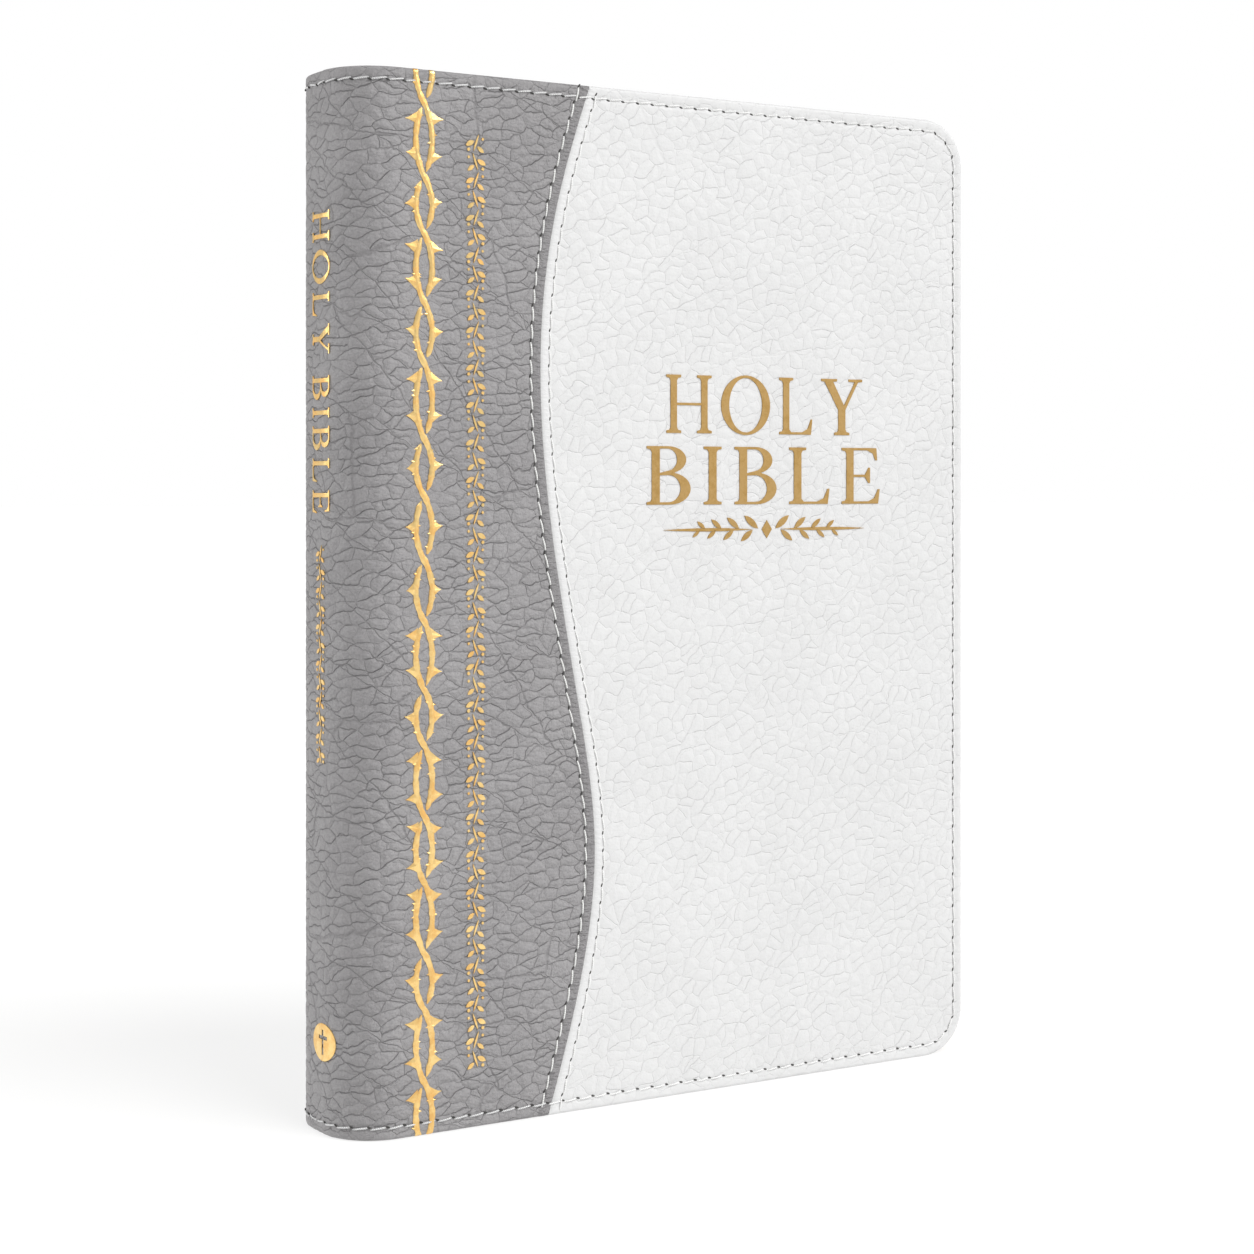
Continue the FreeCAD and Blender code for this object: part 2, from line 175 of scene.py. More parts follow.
def newFinish(name):
    material = bpy.data.materials.new(name)
    material.use_nodes = True
    material.node_tree.nodes.clear()
    return material, material.node_tree


def meshOf(name, points, faces, material=None):
    mesh = bpy.data.meshes.new(name)
    mesh.from_pydata([tuple(p) for p in points], [], [tuple(f) for f in faces])
    mesh.update()
    piece = bpy.data.objects.new(name, mesh)
    bpy.context.scene.collection.objects.link(piece)
    if material:
        mesh.materials.append(material)
    return piece


def gridFaces(rows, columns, start=0, flip=False):
    index = np.arange(rows * columns).reshape(rows, columns) + start
    quads = np.stack([index[:-1, :-1], index[:-1, 1:], index[1:, 1:], index[1:, :-1]], -1).reshape(-1, 4)
    return quads[:, ::-1] if flip else quads


def pointValues(piece, name, kind, values):
    attribute = piece.data.attributes.new(name, kind, "POINT")
    attribute.data.foreach_set("vector" if kind == "FLOAT_VECTOR" else "value",
                               np.asarray(values, np.float32).ravel())


def smooth(piece):
    piece.data.polygons.foreach_set("use_smooth", [True] * len(piece.data.polygons))


def settled(piece, tree, values):
    # runs the piece's node tree once and keeps its result as a plain mesh
    modifier = piece.modifiers.new("shape", "NODES")
    modifier.node_group = tree
    for item in tree.interface.items_tree:
        if item.item_type == "SOCKET" and item.in_out == "INPUT" and item.name in values:
            modifier[item.identifier] = values[item.name]
    bpy.context.view_layer.update()
    result = bpy.data.meshes.new_from_object(piece.evaluated_get(bpy.context.evaluated_depsgraph_get()))
    result.name = piece.name
    piece.modifiers.clear()
    piece.data = result
    return piece


# leather grain: the same folds shape the mesh and the finish; sizes in mm
greyGrain = {"cellWide": 3.9, "cellTall": 2.1, "lean": 8.0, "wander": 1.1, "wanderSize": 5.5,
             "waver": 0.3, "waverSize": 1.4, "longAngle": -32.0, "longReach": 46.0, "longGap": 11.0, "seed": 3.0}
whiteGrain = {"cellWide": 3.4, "cellTall": 2.4, "lean": 24.0, "wander": 0.9, "wanderSize": 4.5,
              "waver": 0.22, "waverSize": 1.3, "longAngle": 30.0, "longReach": 60.0, "longGap": 14.0, "seed": 11.0}


def grainFolds(tree, place, grain):
    # distances in mm to the nearest crease between pebbles and to the nearest long fold
    start = addNode(tree, "ShaderNodeVectorMath", {"operation": "ADD"},
                    {0: place, 1: (grain["seed"] * 37.0, grain["seed"] * 19.0, 0)})
    warped = start
    for size, reach in ((grain["wanderSize"], grain["wander"]), (grain["waverSize"], grain["waver"])):
        noise = addNode(tree, "ShaderNodeTexNoise", {"noise_dimensions": "2D"},
                        {"Vector": start, "Scale": 1 / size, "Detail": 1.0})
        drift = addNode(tree, "ShaderNodeVectorMath", {"operation": "MULTIPLY_ADD"},
                        {0: noise.outputs["Color"], 1: (2 * reach, 2 * reach, 0), 2: (-reach, -reach, 0)})
        warped = addNode(tree, "ShaderNodeVectorMath", {"operation": "ADD"}, {0: warped, 1: drift})
    shrink = (1 / grain["cellWide"], 1 / grain["cellTall"], 0)
    leaning = addNode(tree, "ShaderNodeVectorRotate", {"rotation_type": "Z_AXIS"},
                      {"Vector": warped, "Angle": -math.radians(grain["lean"])})
    cellPlace = addNode(tree, "ShaderNodeVectorMath", {"operation": "MULTIPLY"}, {0: leaning, 1: shrink})
    edge = addNode(tree, "ShaderNodeTexVoronoi", {"voronoi_dimensions": "2D", "feature": "DISTANCE_TO_EDGE"},
                   {"Vector": cellPlace, "Scale": 1.0, "Randomness": 0.95})
    own = addNode(tree, "ShaderNodeTexVoronoi", {"voronoi_dimensions": "2D", "feature": "F1"},
                  {"Vector": cellPlace, "Scale": 1.0, "Randomness": 0.95})
    neighbour = addNode(tree, "ShaderNodeTexVoronoi", {"voronoi_dimensions": "2D", "feature": "F2"},
                   {"Vector": cellPlace, "Scale": 1.0, "Randomness": 0.95})
    cells = addNode(tree, "ShaderNodeMath", {"operation": "MULTIPLY"},
                    {0: edge.outputs["Distance"], 1: (grain["cellTall"] + grain["cellWide"]) / 2})
    # the way across the crease, so that an upright crease is no wider than a level one
    across = addNode(tree, "ShaderNodeVectorMath", {"operation": "SUBTRACT"},
                     {0: neighbour.outputs["Position"], 1: own.outputs["Position"]})
    across = addNode(tree, "ShaderNodeVectorMath", {"operation": "NORMALIZE"}, {0: across})
    stretch = addNode(tree, "ShaderNodeVectorMath", {"operation": "MULTIPLY"}, {0: across, 1: shrink})
    stretch = addNode(tree, "ShaderNodeVectorMath", {"operation": "LENGTH"}, {0: stretch}).outputs["Value"]
    crease = addNode(tree, "ShaderNodeMath", {"operation": "DIVIDE"}, {0: edge.outputs["Distance"], 1: stretch})
    # each crease has its own strength, the level ones stronger than the upright ones
    pair = addNode(tree, "ShaderNodeVectorMath", {"operation": "ADD"},
                   {0: neighbour.outputs["Color"], 1: own.outputs["Color"]})
    pair = addNode(tree, "ShaderNodeVectorMath", {"operation": "FRACTION"}, {0: pair})
    pair = addNode(tree, "ShaderNodeSeparateXYZ", None, {0: pair})
    level = addNode(tree, "ShaderNodeSeparateXYZ", None, {0: across}).outputs["Y"]
    level = addNode(tree, "ShaderNodeMath", {"operation": "ABSOLUTE"}, {0: level})
    level = addNode(tree, "ShaderNodeMapRange", None, {0: level, 1: 0.2, 2: 0.9, 3: 0.55, 4: 1.0})
    strength = addNode(tree, "ShaderNodeMapRange", None, {0: pair, 1: 0.0, 2: 0.75, 3: 0.25, 4: 1.0})
    strength = addNode(tree, "ShaderNodeMath", {"operation": "MULTIPLY"}, {0: strength, 1: level})
    turned = addNode(tree, "ShaderNodeVectorRotate", {"rotation_type": "Z_AXIS"},
                     {"Vector": warped, "Angle": -math.radians(grain["longAngle"])})
    longPlace = addNode(tree, "ShaderNodeVectorMath", {"operation": "MULTIPLY"},
                        {0: turned, 1: (1 / grain["longReach"], 1 / grain["longGap"], 0)})
    longs = addNode(tree, "ShaderNodeTexVoronoi", {"voronoi_dimensions": "2D", "feature": "DISTANCE_TO_EDGE"},
                    {"Vector": longPlace, "Scale": 1.0, "Randomness": 1.0})
    longs = addNode(tree, "ShaderNodeMath", {"operation": "MULTIPLY"},
                    {0: longs.outputs["Distance"], 1: grain["longGap"]})
    return {"start": start, "cells": cells, "crease": crease, "strength": strength, "longs": longs}


def grainTree(name, grain):
    tree = bpy.data.node_groups.new(name, "GeometryNodeTree")
    for label, kind, direction in (("Geometry", "Geometry", "INPUT"), ("Crease depth", "Float", "INPUT"),
                                   ("Crease reach", "Float", "INPUT"), ("Leather", "Material", "INPUT"),
                                   ("Geometry", "Geometry", "OUTPUT")):
        tree.interface.new_socket(label, in_out=direction, socket_type="NodeSocket" + kind)
    source = addNode(tree, "NodeGroupInput")
    place = addNode(tree, "GeometryNodeInputNamedAttribute", {"data_type": "FLOAT_VECTOR"}, {"Name": "grain"})
    calm = addNode(tree, "GeometryNodeInputNamedAttribute", {"data_type": "FLOAT"}, {"Name": "calm"})
    folds = grainFolds(tree, place, grain)
    cellFold = addNode(tree, "ShaderNodeMapRange", {"interpolation_type": "SMOOTHSTEP"},
                       {0: folds["cells"], 1: 0.0, 2: source.outputs["Crease reach"], 3: 1.0, 4: 0.0})
    longFold = addNode(tree, "ShaderNodeMapRange", {"interpolation_type": "SMOOTHSTEP"},
                       {0: folds["longs"], 1: 0.0, 2: source.outputs["Crease reach"], 3: 0.8, 4: 0.0})
    fold = addNode(tree, "ShaderNodeMath", {"operation": "MAXIMUM"}, {0: cellFold, 1: longFold})
    swell = addNode(tree, "ShaderNodeTexNoise", {"noise_dimensions": "2D"},
                    {"Vector": folds["start"], "Scale": 0.16, "Detail": 2.0})
    depth = addNode(tree, "ShaderNodeMath", {"operation": "MULTIPLY_ADD"}, {0: swell, 1: 0.6, 2: fold})
    depth = addNode(tree, "ShaderNodeMath", {"operation": "MULTIPLY"},
                    {0: depth, 1: source.outputs["Crease depth"]})
    lively = addNode(tree, "ShaderNodeMath", {"operation": "MULTIPLY_ADD"}, {0: calm, 1: mm, 2: -mm})
    depth = addNode(tree, "ShaderNodeMath", {"operation": "MULTIPLY"}, {0: depth, 1: lively})
    inward = addNode(tree, "ShaderNodeVectorMath", {"operation": "SCALE"},
                     {0: addNode(tree, "GeometryNodeInputNormal"), "Scale": depth})
    moved = addNode(tree, "GeometryNodeSetPosition", None, {"Geometry": source, "Offset": inward})
    real = addNode(tree, "GeometryNodeRealizeInstances", None, {0: moved})
    dressed = addNode(tree, "GeometryNodeSetMaterial", None, {0: real, "Material": source.outputs["Leather"]})
    addNode(tree, "NodeGroupOutput", None, {0: dressed})
    return tree


def leatherMaterial(name, look, grain):
    # embossed PU leather: a soft sheen on the pebbles, fine dull creases between them, their colour darkened with
    # painted shade
    material, tree = newFinish(name)
    place = addNode(tree, "ShaderNodeAttribute", {"attribute_name": "grain"}).outputs["Vector"]
    calm = addNode(tree, "ShaderNodeAttribute", {"attribute_name": "calm"}).outputs["Fac"]
    band = addNode(tree, "ShaderNodeAttribute", {"attribute_name": "band"}).outputs["Fac"]
    lively = addNode(tree, "ShaderNodeMath", {"operation": "SUBTRACT"}, {0: 1.0, 1: calm})
    folds = grainFolds(tree, place, grain)
    start = folds["start"]
    cellLine = addNode(tree, "ShaderNodeMapRange", {"interpolation_type": "SMOOTHSTEP"},
                       {0: folds["crease"], 1: 0.0, 2: look["creaseWidth"], 3: 1.0, 4: 0.0})
    cellLine = addNode(tree, "ShaderNodeMath", {"operation": "MULTIPLY"}, {0: cellLine, 1: folds["strength"]})
    longLine = addNode(tree, "ShaderNodeMapRange", {"interpolation_type": "SMOOTHSTEP"},
                       {0: folds["longs"], 1: 0.0, 2: look["creaseWidth"], 3: look["longDepth"], 4: 0.0})
    line = addNode(tree, "ShaderNodeMath", {"operation": "MAXIMUM"}, {0: cellLine, 1: longLine})
    line = addNode(tree, "ShaderNodeMath", {"operation": "MULTIPLY"}, {0: line, 1: lively})
    pillow = addNode(tree, "ShaderNodeMapRange", {"interpolation_type": "SMOOTHSTEP"},
                     {0: folds["cells"], 1: 0.0, 2: 1.2, 3: 0.0, 4: look["pillow"]})
    finePlace = addNode(tree, "ShaderNodeVectorMath", {"operation": "MULTIPLY"},
                        {0: start, 1: (0.6 / look["fineCell"], 1 / look["fineCell"], 0)})
    fine = addNode(tree, "ShaderNodeTexVoronoi", {"voronoi_dimensions": "2D", "feature": "SMOOTH_F1"},
                   {"Vector": finePlace, "Scale": 1.0, "Randomness": 1.0, "Smoothness": 0.35})
    pores = addNode(tree, "ShaderNodeTexNoise", {"noise_dimensions": "2D"},
                    {"Vector": start, "Scale": 2.2, "Detail": 4.0, "Roughness": 0.7})
    wrinklePlace = addNode(tree, "ShaderNodeVectorMath", {"operation": "MULTIPLY"},
                           {0: start, 1: (0.5, 1.5, 0)})
    wrinkles = addNode(tree, "ShaderNodeTexNoise", {"noise_dimensions": "2D"},
                       {"Vector": wrinklePlace, "Scale": 1.0, "Detail": 2.0})
    wrinkles = addNode(tree, "ShaderNodeMath", {"operation": "MULTIPLY"}, {0: wrinkles, 1: band})
    height = addNode(tree, "ShaderNodeMath", {"operation": "MULTIPLY_ADD"},
                     {0: fine.outputs["Distance"], 1: -look["fineDepth"], 2: pillow})
    height = addNode(tree, "ShaderNodeMath", {"operation": "MULTIPLY"}, {0: height, 1: lively})
    height = addNode(tree, "ShaderNodeMath", {"operation": "SUBTRACT"}, {0: height, 1: line})
    height = addNode(tree, "ShaderNodeMath", {"operation": "MULTIPLY_ADD"},
                     {0: pores, 1: look["poreDepth"], 2: height})
    height = addNode(tree, "ShaderNodeMath", {"operation": "MULTIPLY_ADD"},
                     {0: wrinkles, 1: look["bandWrinkle"], 2: height})
    bump = addNode(tree, "ShaderNodeBump", None,
                   {"Strength": 1.0, "Distance": look["bump"] * mm, "Height": height})
    cloud = addNode(tree, "ShaderNodeTexNoise", {"noise_dimensions": "2D"},
                    {"Vector": start, "Scale": 0.05, "Detail": 3.0})
    cloud = addNode(tree, "ShaderNodeMapRange", {"interpolation_type": "SMOOTHSTEP"},
                    {0: cloud, 1: 0.3, 2: 0.7})
    colour = addNode(tree, "ShaderNodeMix", {"data_type": "RGBA"},
                     {0: cloud, 6: paint(look["base"]), 7: paint(look["cloud"])})
    speck = addNode(tree, "ShaderNodeMapRange", {"interpolation_type": "SMOOTHSTEP"},
                    {0: pores, 1: 0.38, 2: 0.66, 3: 0.0, 4: look["speck"]})
    colour = addNode(tree, "ShaderNodeMix", {"data_type": "RGBA"},
                     {0: speck, 6: colour.outputs[2], 7: paint(look["crease"])})
    # painted shade: the creases are mixed towards the crease colour, standing in for the shadow in the grooves
    tint = addNode(tree, "ShaderNodeMath", {"operation": "MULTIPLY"}, {0: line, 1: look["creaseShadeAmount"]})
    colour = addNode(tree, "ShaderNodeMix", {"data_type": "RGBA"},
                     {0: tint, 6: colour.outputs[2], 7: paint(look["crease"])})
    tint = addNode(tree, "ShaderNodeMath", {"operation": "MULTIPLY"}, {0: band, 1: 0.5})
    colour = addNode(tree, "ShaderNodeMix", {"data_type": "RGBA"},
                     {0: tint, 6: colour.outputs[2], 7: paint(look["bandColour"])})
    dull = addNode(tree, "ShaderNodeMath", {"operation": "MULTIPLY_ADD"},
                   {0: line, 1: 0.2, 2: look["roughness"]})
    shader = addNode(tree, "ShaderNodeBsdfPrincipled", None,
                     {"Base Color": colour.outputs[2], "Roughness": dull, "Normal": bump, "IOR": 1.5,
                      "Specular IOR Level": 0.35})
    addNode(tree, "ShaderNodeOutputMaterial", None, {0: shader})
    return material


# crease is the colour of the painted shade in the creases, also used for the pore specks; creaseShadeAmount sets how
# strong that painted shade is
greyLook = {"base": "#9a9899", "cloud": "#949293", "crease": "#5c5a5b", "creaseShadeAmount": 0.4, "creaseWidth": 0.17,
            "longDepth": 0.7, "fineCell": 0.7, "fineDepth": 0.6, "poreDepth": 0.7, "bump": 0.27, "roughness": 0.5,
            "pillow": 0.55, "speck": 0.16, "bandColour": "#7e7c7d", "bandWrinkle": 3.2}
whiteLook = {"base": "#d6d6d6", "cloud": "#d3d3d3", "crease": "#c6c5c4", "creaseShadeAmount": 0.12, "creaseWidth": 0.19,
             "longDepth": 0.5, "fineCell": 0.7, "fineDepth": 0.35, "poreDepth": 0.6, "bump": 0.09, "roughness": 0.46,
             "pillow": 0.5, "speck": 0.1, "bandColour": "#d6d6d6", "bandWrinkle": 1.6}
greyLeather = leatherMaterial("greyEmbossedLeather", greyLook, greyGrain)
whiteLeather = leatherMaterial("whiteEmbossedLeather", whiteLook, whiteGrain)
greyTree = grainTree("greyGrainFolds", greyGrain)
whiteTree = grainTree("whiteGrainFolds", whiteGrain)
say("leather finishes made")

skin = {"spacing": 0.42, "whiteSpacing": 0.56, "turnIn": 13.0, "stitchInset": 2.4, "stitchGroove": 0.13,
        "seamGroove": 0.16, "seamStitch": 2.1, "greyDepth": 0.10, "whiteDepth": 0.04, "creaseReach": 0.85}


def edgePath(spacing):
    # height, fixed depth, share of the wall's thickness, and distance along the surface
    tail = [(skin["turnIn"], 0, 1), (9, 0, 1), (5, 0, 1), (3, 0, 1), (1.5, 0, 1), (0.4, 0, 1), (0.12, -0.12, 1),
            (0, -0.4, 1), (0, 1.0, 0), (0, 0.7, 0), (0.053, 0.43, 0), (0.205, 0.205, 0), (0.43, 0.053, 0), (0.7, 0, 0)]
    count = round((book["height"] - 1.4) / spacing)
    middle = [(0.7 + (book["height"] - 1.4) * i / count, 0, 0) for i in range(1, count)]
    head = [(book["height"] - z, a, b) for z, a, b in reversed(tail)]
    path = np.array(tail + middle + head)
    step = np.hypot(np.diff(path[:, 0]), np.diff(path[:, 1] + 2 * path[:, 2]))
    along = np.concatenate([[0], np.cumsum(step)])
    return path, along - along[len(tail) - 1] + 0.7


def wallThickness(s):
    fold = book["flat"] + quarterTurn / 2
    return np.interp(s, [fold - 1, fold + 1, coverStart - 1, coverStart + 1],
                     [book["spineThickness"], book["jointThickness"], book["jointThickness"], book["coverThickness"]])


def seamDistance(s, z):
    x = s - coverStart + book["radius"]
    slope = seamSlope(z)
    return (seamX(z) - x) / np.sqrt(1 + slope ** 2)


def ditch(distance, middle, width, depth):
    return depth * np.exp(-((distance - middle) / width) ** 2)


def greyPiece(name, side, columns, toSeam):
    path, along = edgePath(skin["spacing"])
    z = path[:, :1]
    if toSeam:
        end = seamX(z) - book["radius"] + coverStart
        s = jointMiddle + (end - jointMiddle) * columns[None, :]
    else:
        s = np.repeat(columns[None, :], len(path), 0)
    depth = path[:, 1:2] + path[:, 2:3] * wallThickness(s)
    outer = (path[:, 2:3] == 0) & (path[:, 1:2] < 0.6)
    edge = np.minimum(z, book["height"] - z)
    gap = seamDistance(s, z)
    sink = ditch(edge, skin["stitchInset"], 0.55, skin["stitchGroove"]) + 0 * s
    if toSeam:
        sink = sink + ditch(gap, skin["seamStitch"], 0.5, skin["stitchGroove"] * 0.8)
        sink = sink + ditch(gap, 0, 0.3, skin["seamGroove"])
    depth = depth + np.where(outer, sink, 0)
    grain = np.stack([-side * s, along[:, None] + 0 * s, 0 * s], -1)
    band = np.where(toSeam, 1 - smoothStep(gap, 1.7, 2.4), 0 * s)
    nearSeam = np.where(toSeam, 1 - smoothStep(gap, 1.8, 2.8), 0)
    calm = np.maximum(nearSeam, 0.4 * (1 - smoothStep(edge, 1.4, 2.2)) + 0 * s)
    foil = np.exp(-((s - coverStart + book["radius"] - 16.3) / 3.2) ** 4) * 0.45
    calm = np.where(outer, np.maximum(calm, foil if side < 0 else 0), 0.9)
    x, y = roundCase(s, depth, side)
    if toSeam:
        # the cut edge of the leather at the seam goes down into the wall
        wall = np.where(outer[:, 0], 0.7, -0.3)
        xw, yw = roundCase(s[:, -1], depth[:, -1] + wall, side)
        x, y = np.column_stack([x, xw]), np.column_stack([y, yw])
        grain = np.concatenate([grain, grain[:, -1:]], 1)
        calm, band = np.column_stack([calm, calm[:, -1] * 0 + 1]), np.column_stack([band, band[:, -1]])
    zz = z + 0 * x
    rows, count = x.shape
    points = np.stack([x, y, zz], -1).reshape(-1, 3) * mm
    piece = meshOf(name, points, gridFaces(rows, count, flip=side > 0))
    pointValues(piece, "grain", "FLOAT_VECTOR", grain.reshape(-1, 3))
    pointValues(piece, "calm", "FLOAT", calm)
    pointValues(piece, "band", "FLOAT", band)
    smooth(piece)
    return settled(piece, greyTree, {"Crease depth": skin["greyDepth"], "Crease reach": skin["creaseReach"],
                                     "Leather": greyLeather})


def outlineEnd(z):
    # fore-edge x at a height, with the cover's rounded corners
    r = book["cornerRadius"]
    near = np.clip(r - np.minimum(z, book["height"] - z), 0, r)
    return book["width"] - r + np.sqrt(np.maximum(r * r - near * near, 0))


def outlineDistance(x, z):
    r = book["cornerRadius"]
    dx = book["width"] - x
    dz = np.minimum(z, book["height"] - z)
    inCorner = (dx < r) & (dz < r)
    return np.where(inCorner, r - np.hypot(r - dx, r - dz), np.minimum(dx, dz))


def whitePiece(name, side):
    r = book["cornerRadius"]
    spacing = skin["whiteSpacing"]
    turns = np.radians([0, 4, 8, 12, 16, 20, 24, 28, 32, 36, 40, 44, 48, 52, 56, 60, 65, 70, 75, 80, 85])
    lowRows = r - r * np.cos(turns)
    lowRows = np.unique(np.round(np.concatenate([lowRows, [0.3, 1.0, 1.6, 2.4, 3.2, 4.4]]), 4))
    count = round((book["height"] - 2 * r) / spacing)
    rows = np.concatenate([lowRows, np.linspace(r, book["height"] - r, count + 1), book["height"] - lowRows[::-1]])
    lanes = np.concatenate([[0, 0.0015, 0.0035, 0.006, 0.01], np.linspace(0.0145, 0.955, 168),
                            [0.961, 0.967, 0.972, 0.977, 0.982, 0.9865, 0.99, 0.9932, 0.996, 0.998, 0.9993, 1.0]])
    z = rows[:, None] + 0 * lanes[None, :]
    start, end = seamX(rows)[:, None], outlineEnd(rows)[:, None]
    x = start + (end - start) * lanes[None, :]
    edge = np.maximum(outlineDistance(x, z), 0)
    s = x - book["radius"] + coverStart
    gap = -seamDistance(s, z)
    sink = ditch(edge, skin["stitchInset"], 0.55, skin["stitchGroove"])
    sink = sink + ditch(gap, skin["seamStitch"], 0.5, skin["stitchGroove"] * 0.8)
    sink = sink + ditch(gap, 0, 0.3, skin["seamGroove"])
    depth = edgeDrop(edge) + sink * (edge > book["rim"])
    calm = np.maximum(1 - smoothStep(gap, 1.8, 2.8), 0.4 * (1 - smoothStep(edge, 1.4, 2.2)))
    band = 1 - smoothStep(gap, 1.8, 2.3)
    px, pz, pd = x.ravel(), z.ravel(), depth.ravel()
    faces = [gridFaces(len(rows), len(lanes), flip=side > 0)]
    # the rim runs on from the sheet's border, round the edge and into the turn-in
    index = np.arange(x.size).reshape(x.shape)
    loop = np.concatenate([index[0, :], index[1:, -1], index[-1, :-1][::-1]])
    lx, lz = px[loop], pz[loop]
    nx = np.where(lx > book["width"] - r, lx - (book["width"] - r), 0)
    nz = np.where(lz < r, lz - r, np.where(lz > book["height"] - r, lz - book["height"] + r, 0))
    nz = np.where((lz < r) & (nx == 0), -1, np.where((lz > book["height"] - r) & (nx == 0), 1, nz))
    size = np.maximum(np.hypot(nx, nz), 1e-9)
    nx, nz = nx / size, nz / size
    profile = [(0, 1.0), (0, 1.9), (0.12, 2.18), (0.4, 2.3), (1.5, 2.3), (3.0, 2.3), (5.0, 2.3), (7.5, 2.3),
               (7.5, 1.9)]
    lean = np.clip(1 - (lx - seamX(lz)) / 14, 0, 1)
    stripX, stripZ, stripD = [lx], [lz], [pd[loop]]
    for inset, level in profile:
        zz = lz - nz * inset
        stripX.append(lx - nx * inset + (seamX(zz) - seamX(lz)) * lean)
        stripZ.append(zz)
        stripD.append(np.full(len(loop), level))
    first = len(px)
    strip = np.array(stripX[1:]), np.array(stripZ[1:]), np.array(stripD[1:])
    stripIndex = np.concatenate([loop[None, :], np.arange(strip[0].size).reshape(strip[0].shape) + first])
    quads = np.stack([stripIndex[:-1, :-1], stripIndex[1:, :-1], stripIndex[1:, 1:], stripIndex[:-1, 1:]], -1)
    quads = quads.reshape(-1, 4)
    faces.append(quads[:, ::-1] if side > 0 else quads)
    # the cut edge at the seam
    seamIndex = index[:, 0]
    wallFirst = first + strip[0].size
    wallIndex = np.arange(len(rows)) + wallFirst
    quads = np.stack([seamIndex[:-1], seamIndex[1:], wallIndex[1:], wallIndex[:-1]], -1)
    faces.append(quads[:, ::-1] if side > 0 else quads)
    allX = np.concatenate([px, strip[0].ravel(), px[seamIndex]])
    allZ = np.concatenate([pz, strip[1].ravel(), pz[seamIndex]])
    allD = np.concatenate([pd, strip[2].ravel(), pd[seamIndex] + 0.7])
    y = side * (book["half"] - allD)
    points = np.stack([allX + book["spineX"], y, allZ], -1) * mm
    piece = meshOf(name, points, np.concatenate(faces))
    extra = strip[0].size
    run = np.cumsum(np.ones_like(strip[0]), 0)
    grain = np.stack([np.concatenate([px, (strip[0] + run * nx).ravel(), px[seamIndex]]),
                      np.concatenate([pz, (strip[1] + run * nz).ravel(), pz[seamIndex]]),
                      np.zeros(len(allX))], -1)
    pointValues(piece, "grain", "FLOAT_VECTOR", grain)
    pointValues(piece, "calm", "FLOAT", np.concatenate([calm.ravel(), np.full(extra, 0.8), np.ones(len(rows))]))
    pointValues(piece, "band", "FLOAT", np.concatenate([band.ravel(), np.zeros(extra), np.ones(len(rows))]))
    smooth(piece)
    return settled(piece, whiteTree, {"Crease depth": skin["whiteDepth"], "Crease reach": skin["creaseReach"],
                                      "Leather": whiteLeather})


def casePoint(s, side):
    x, y = roundCase(s, 0, side)
    return (float(x) * mm, float(y) * mm, book["height"] / 2 * mm)


def blendSpine(piece, side):
    casePoint(book["flat"] + quarterTurn * 0.33, side)
    casePoint(book["flat"] + quarterTurn * 0.67, side)
    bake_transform(piece)


def blendHinge(piece):
    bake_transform(piece)


spineColumns = np.linspace(0, jointMiddle, round(jointMiddle / skin["spacing"]) + 1)
hingeSpan = 36.0
hingeColumns = np.concatenate([np.linspace(0, 0.978, round(hingeSpan / skin["spacing"])),
                               [0.985, 0.99, 0.994, 0.997, 1.0]])
for name, side in (("front", -1), ("back", 1)):
    spineSkin = greyPiece(name + "SpineLeather", side, spineColumns, False)
    hingeSkin = greyPiece(name + "HingeLeather", side, hingeColumns, True)
    whiteSkin = whitePiece(name + "WhiteLeather", side)
    blendSpine(spineSkin, side)
    blendHinge(hingeSkin)
    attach(whiteSkin, name + "_cover")
    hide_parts("spine_skin")
    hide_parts(name + "_joint_skin", name + "_grey_panel")
    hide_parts(name + "_white_panel")
say("leather skins made")

# one thread and the needle hole beside it, laid along each row; the hole is a flattened dark blob of painted shade
stitching = {"pitch": 3.5, "seamPitch": 3.5, "thread": 0.36, "length": 3.0, "bow": 0.16, "sink": 0.24,
             "hole": 0.5, "smallHole": 0.46, "slant": 7.0}


def threadMaterial(name, colour, shade):
    # spun polyester sewing thread: two plies seen as slanting bands, a soft dull finish
    material, tree = newFinish(name)
    place = addNode(tree, "ShaderNodeAttribute", {"attribute_name": "ply"}).outputs["Vector"]
    plies = addNode(tree, "ShaderNodeTexWave", {"wave_type": "BANDS", "bands_direction": "DIAGONAL"},
                    {"Vector": place, "Scale": 1.5, "Distortion": 0.6}).outputs["Fac"]
    bump = addNode(tree, "ShaderNodeBump", None, {"Strength": 0.6, "Distance": 0.06 * mm, "Height": plies})
    colour = addNode(tree, "ShaderNodeMix", {"data_type": "RGBA"}, {0: plies, 6: paint(shade), 7: paint(colour)})
    shader = addNode(tree, "ShaderNodeBsdfPrincipled", None,
                     {"Base Color": colour.outputs[2], "Normal": bump, "Roughness": 0.75, "Specular IOR Level": 0.2,
                      "Sheen Weight": 0.25})
    addNode(tree, "ShaderNodeOutputMaterial", None, {0: shader})
    return material


whiteThread = threadMaterial("whiteSewingThread", "#f4f4f2", "#d6d6d4")
greyThread = threadMaterial("lightGreySewingThread", "#e2e2e2", "#b8b8b8")
dullThread = threadMaterial("offWhiteSewingThread", "#f0f0ef", "#d8d8d7")


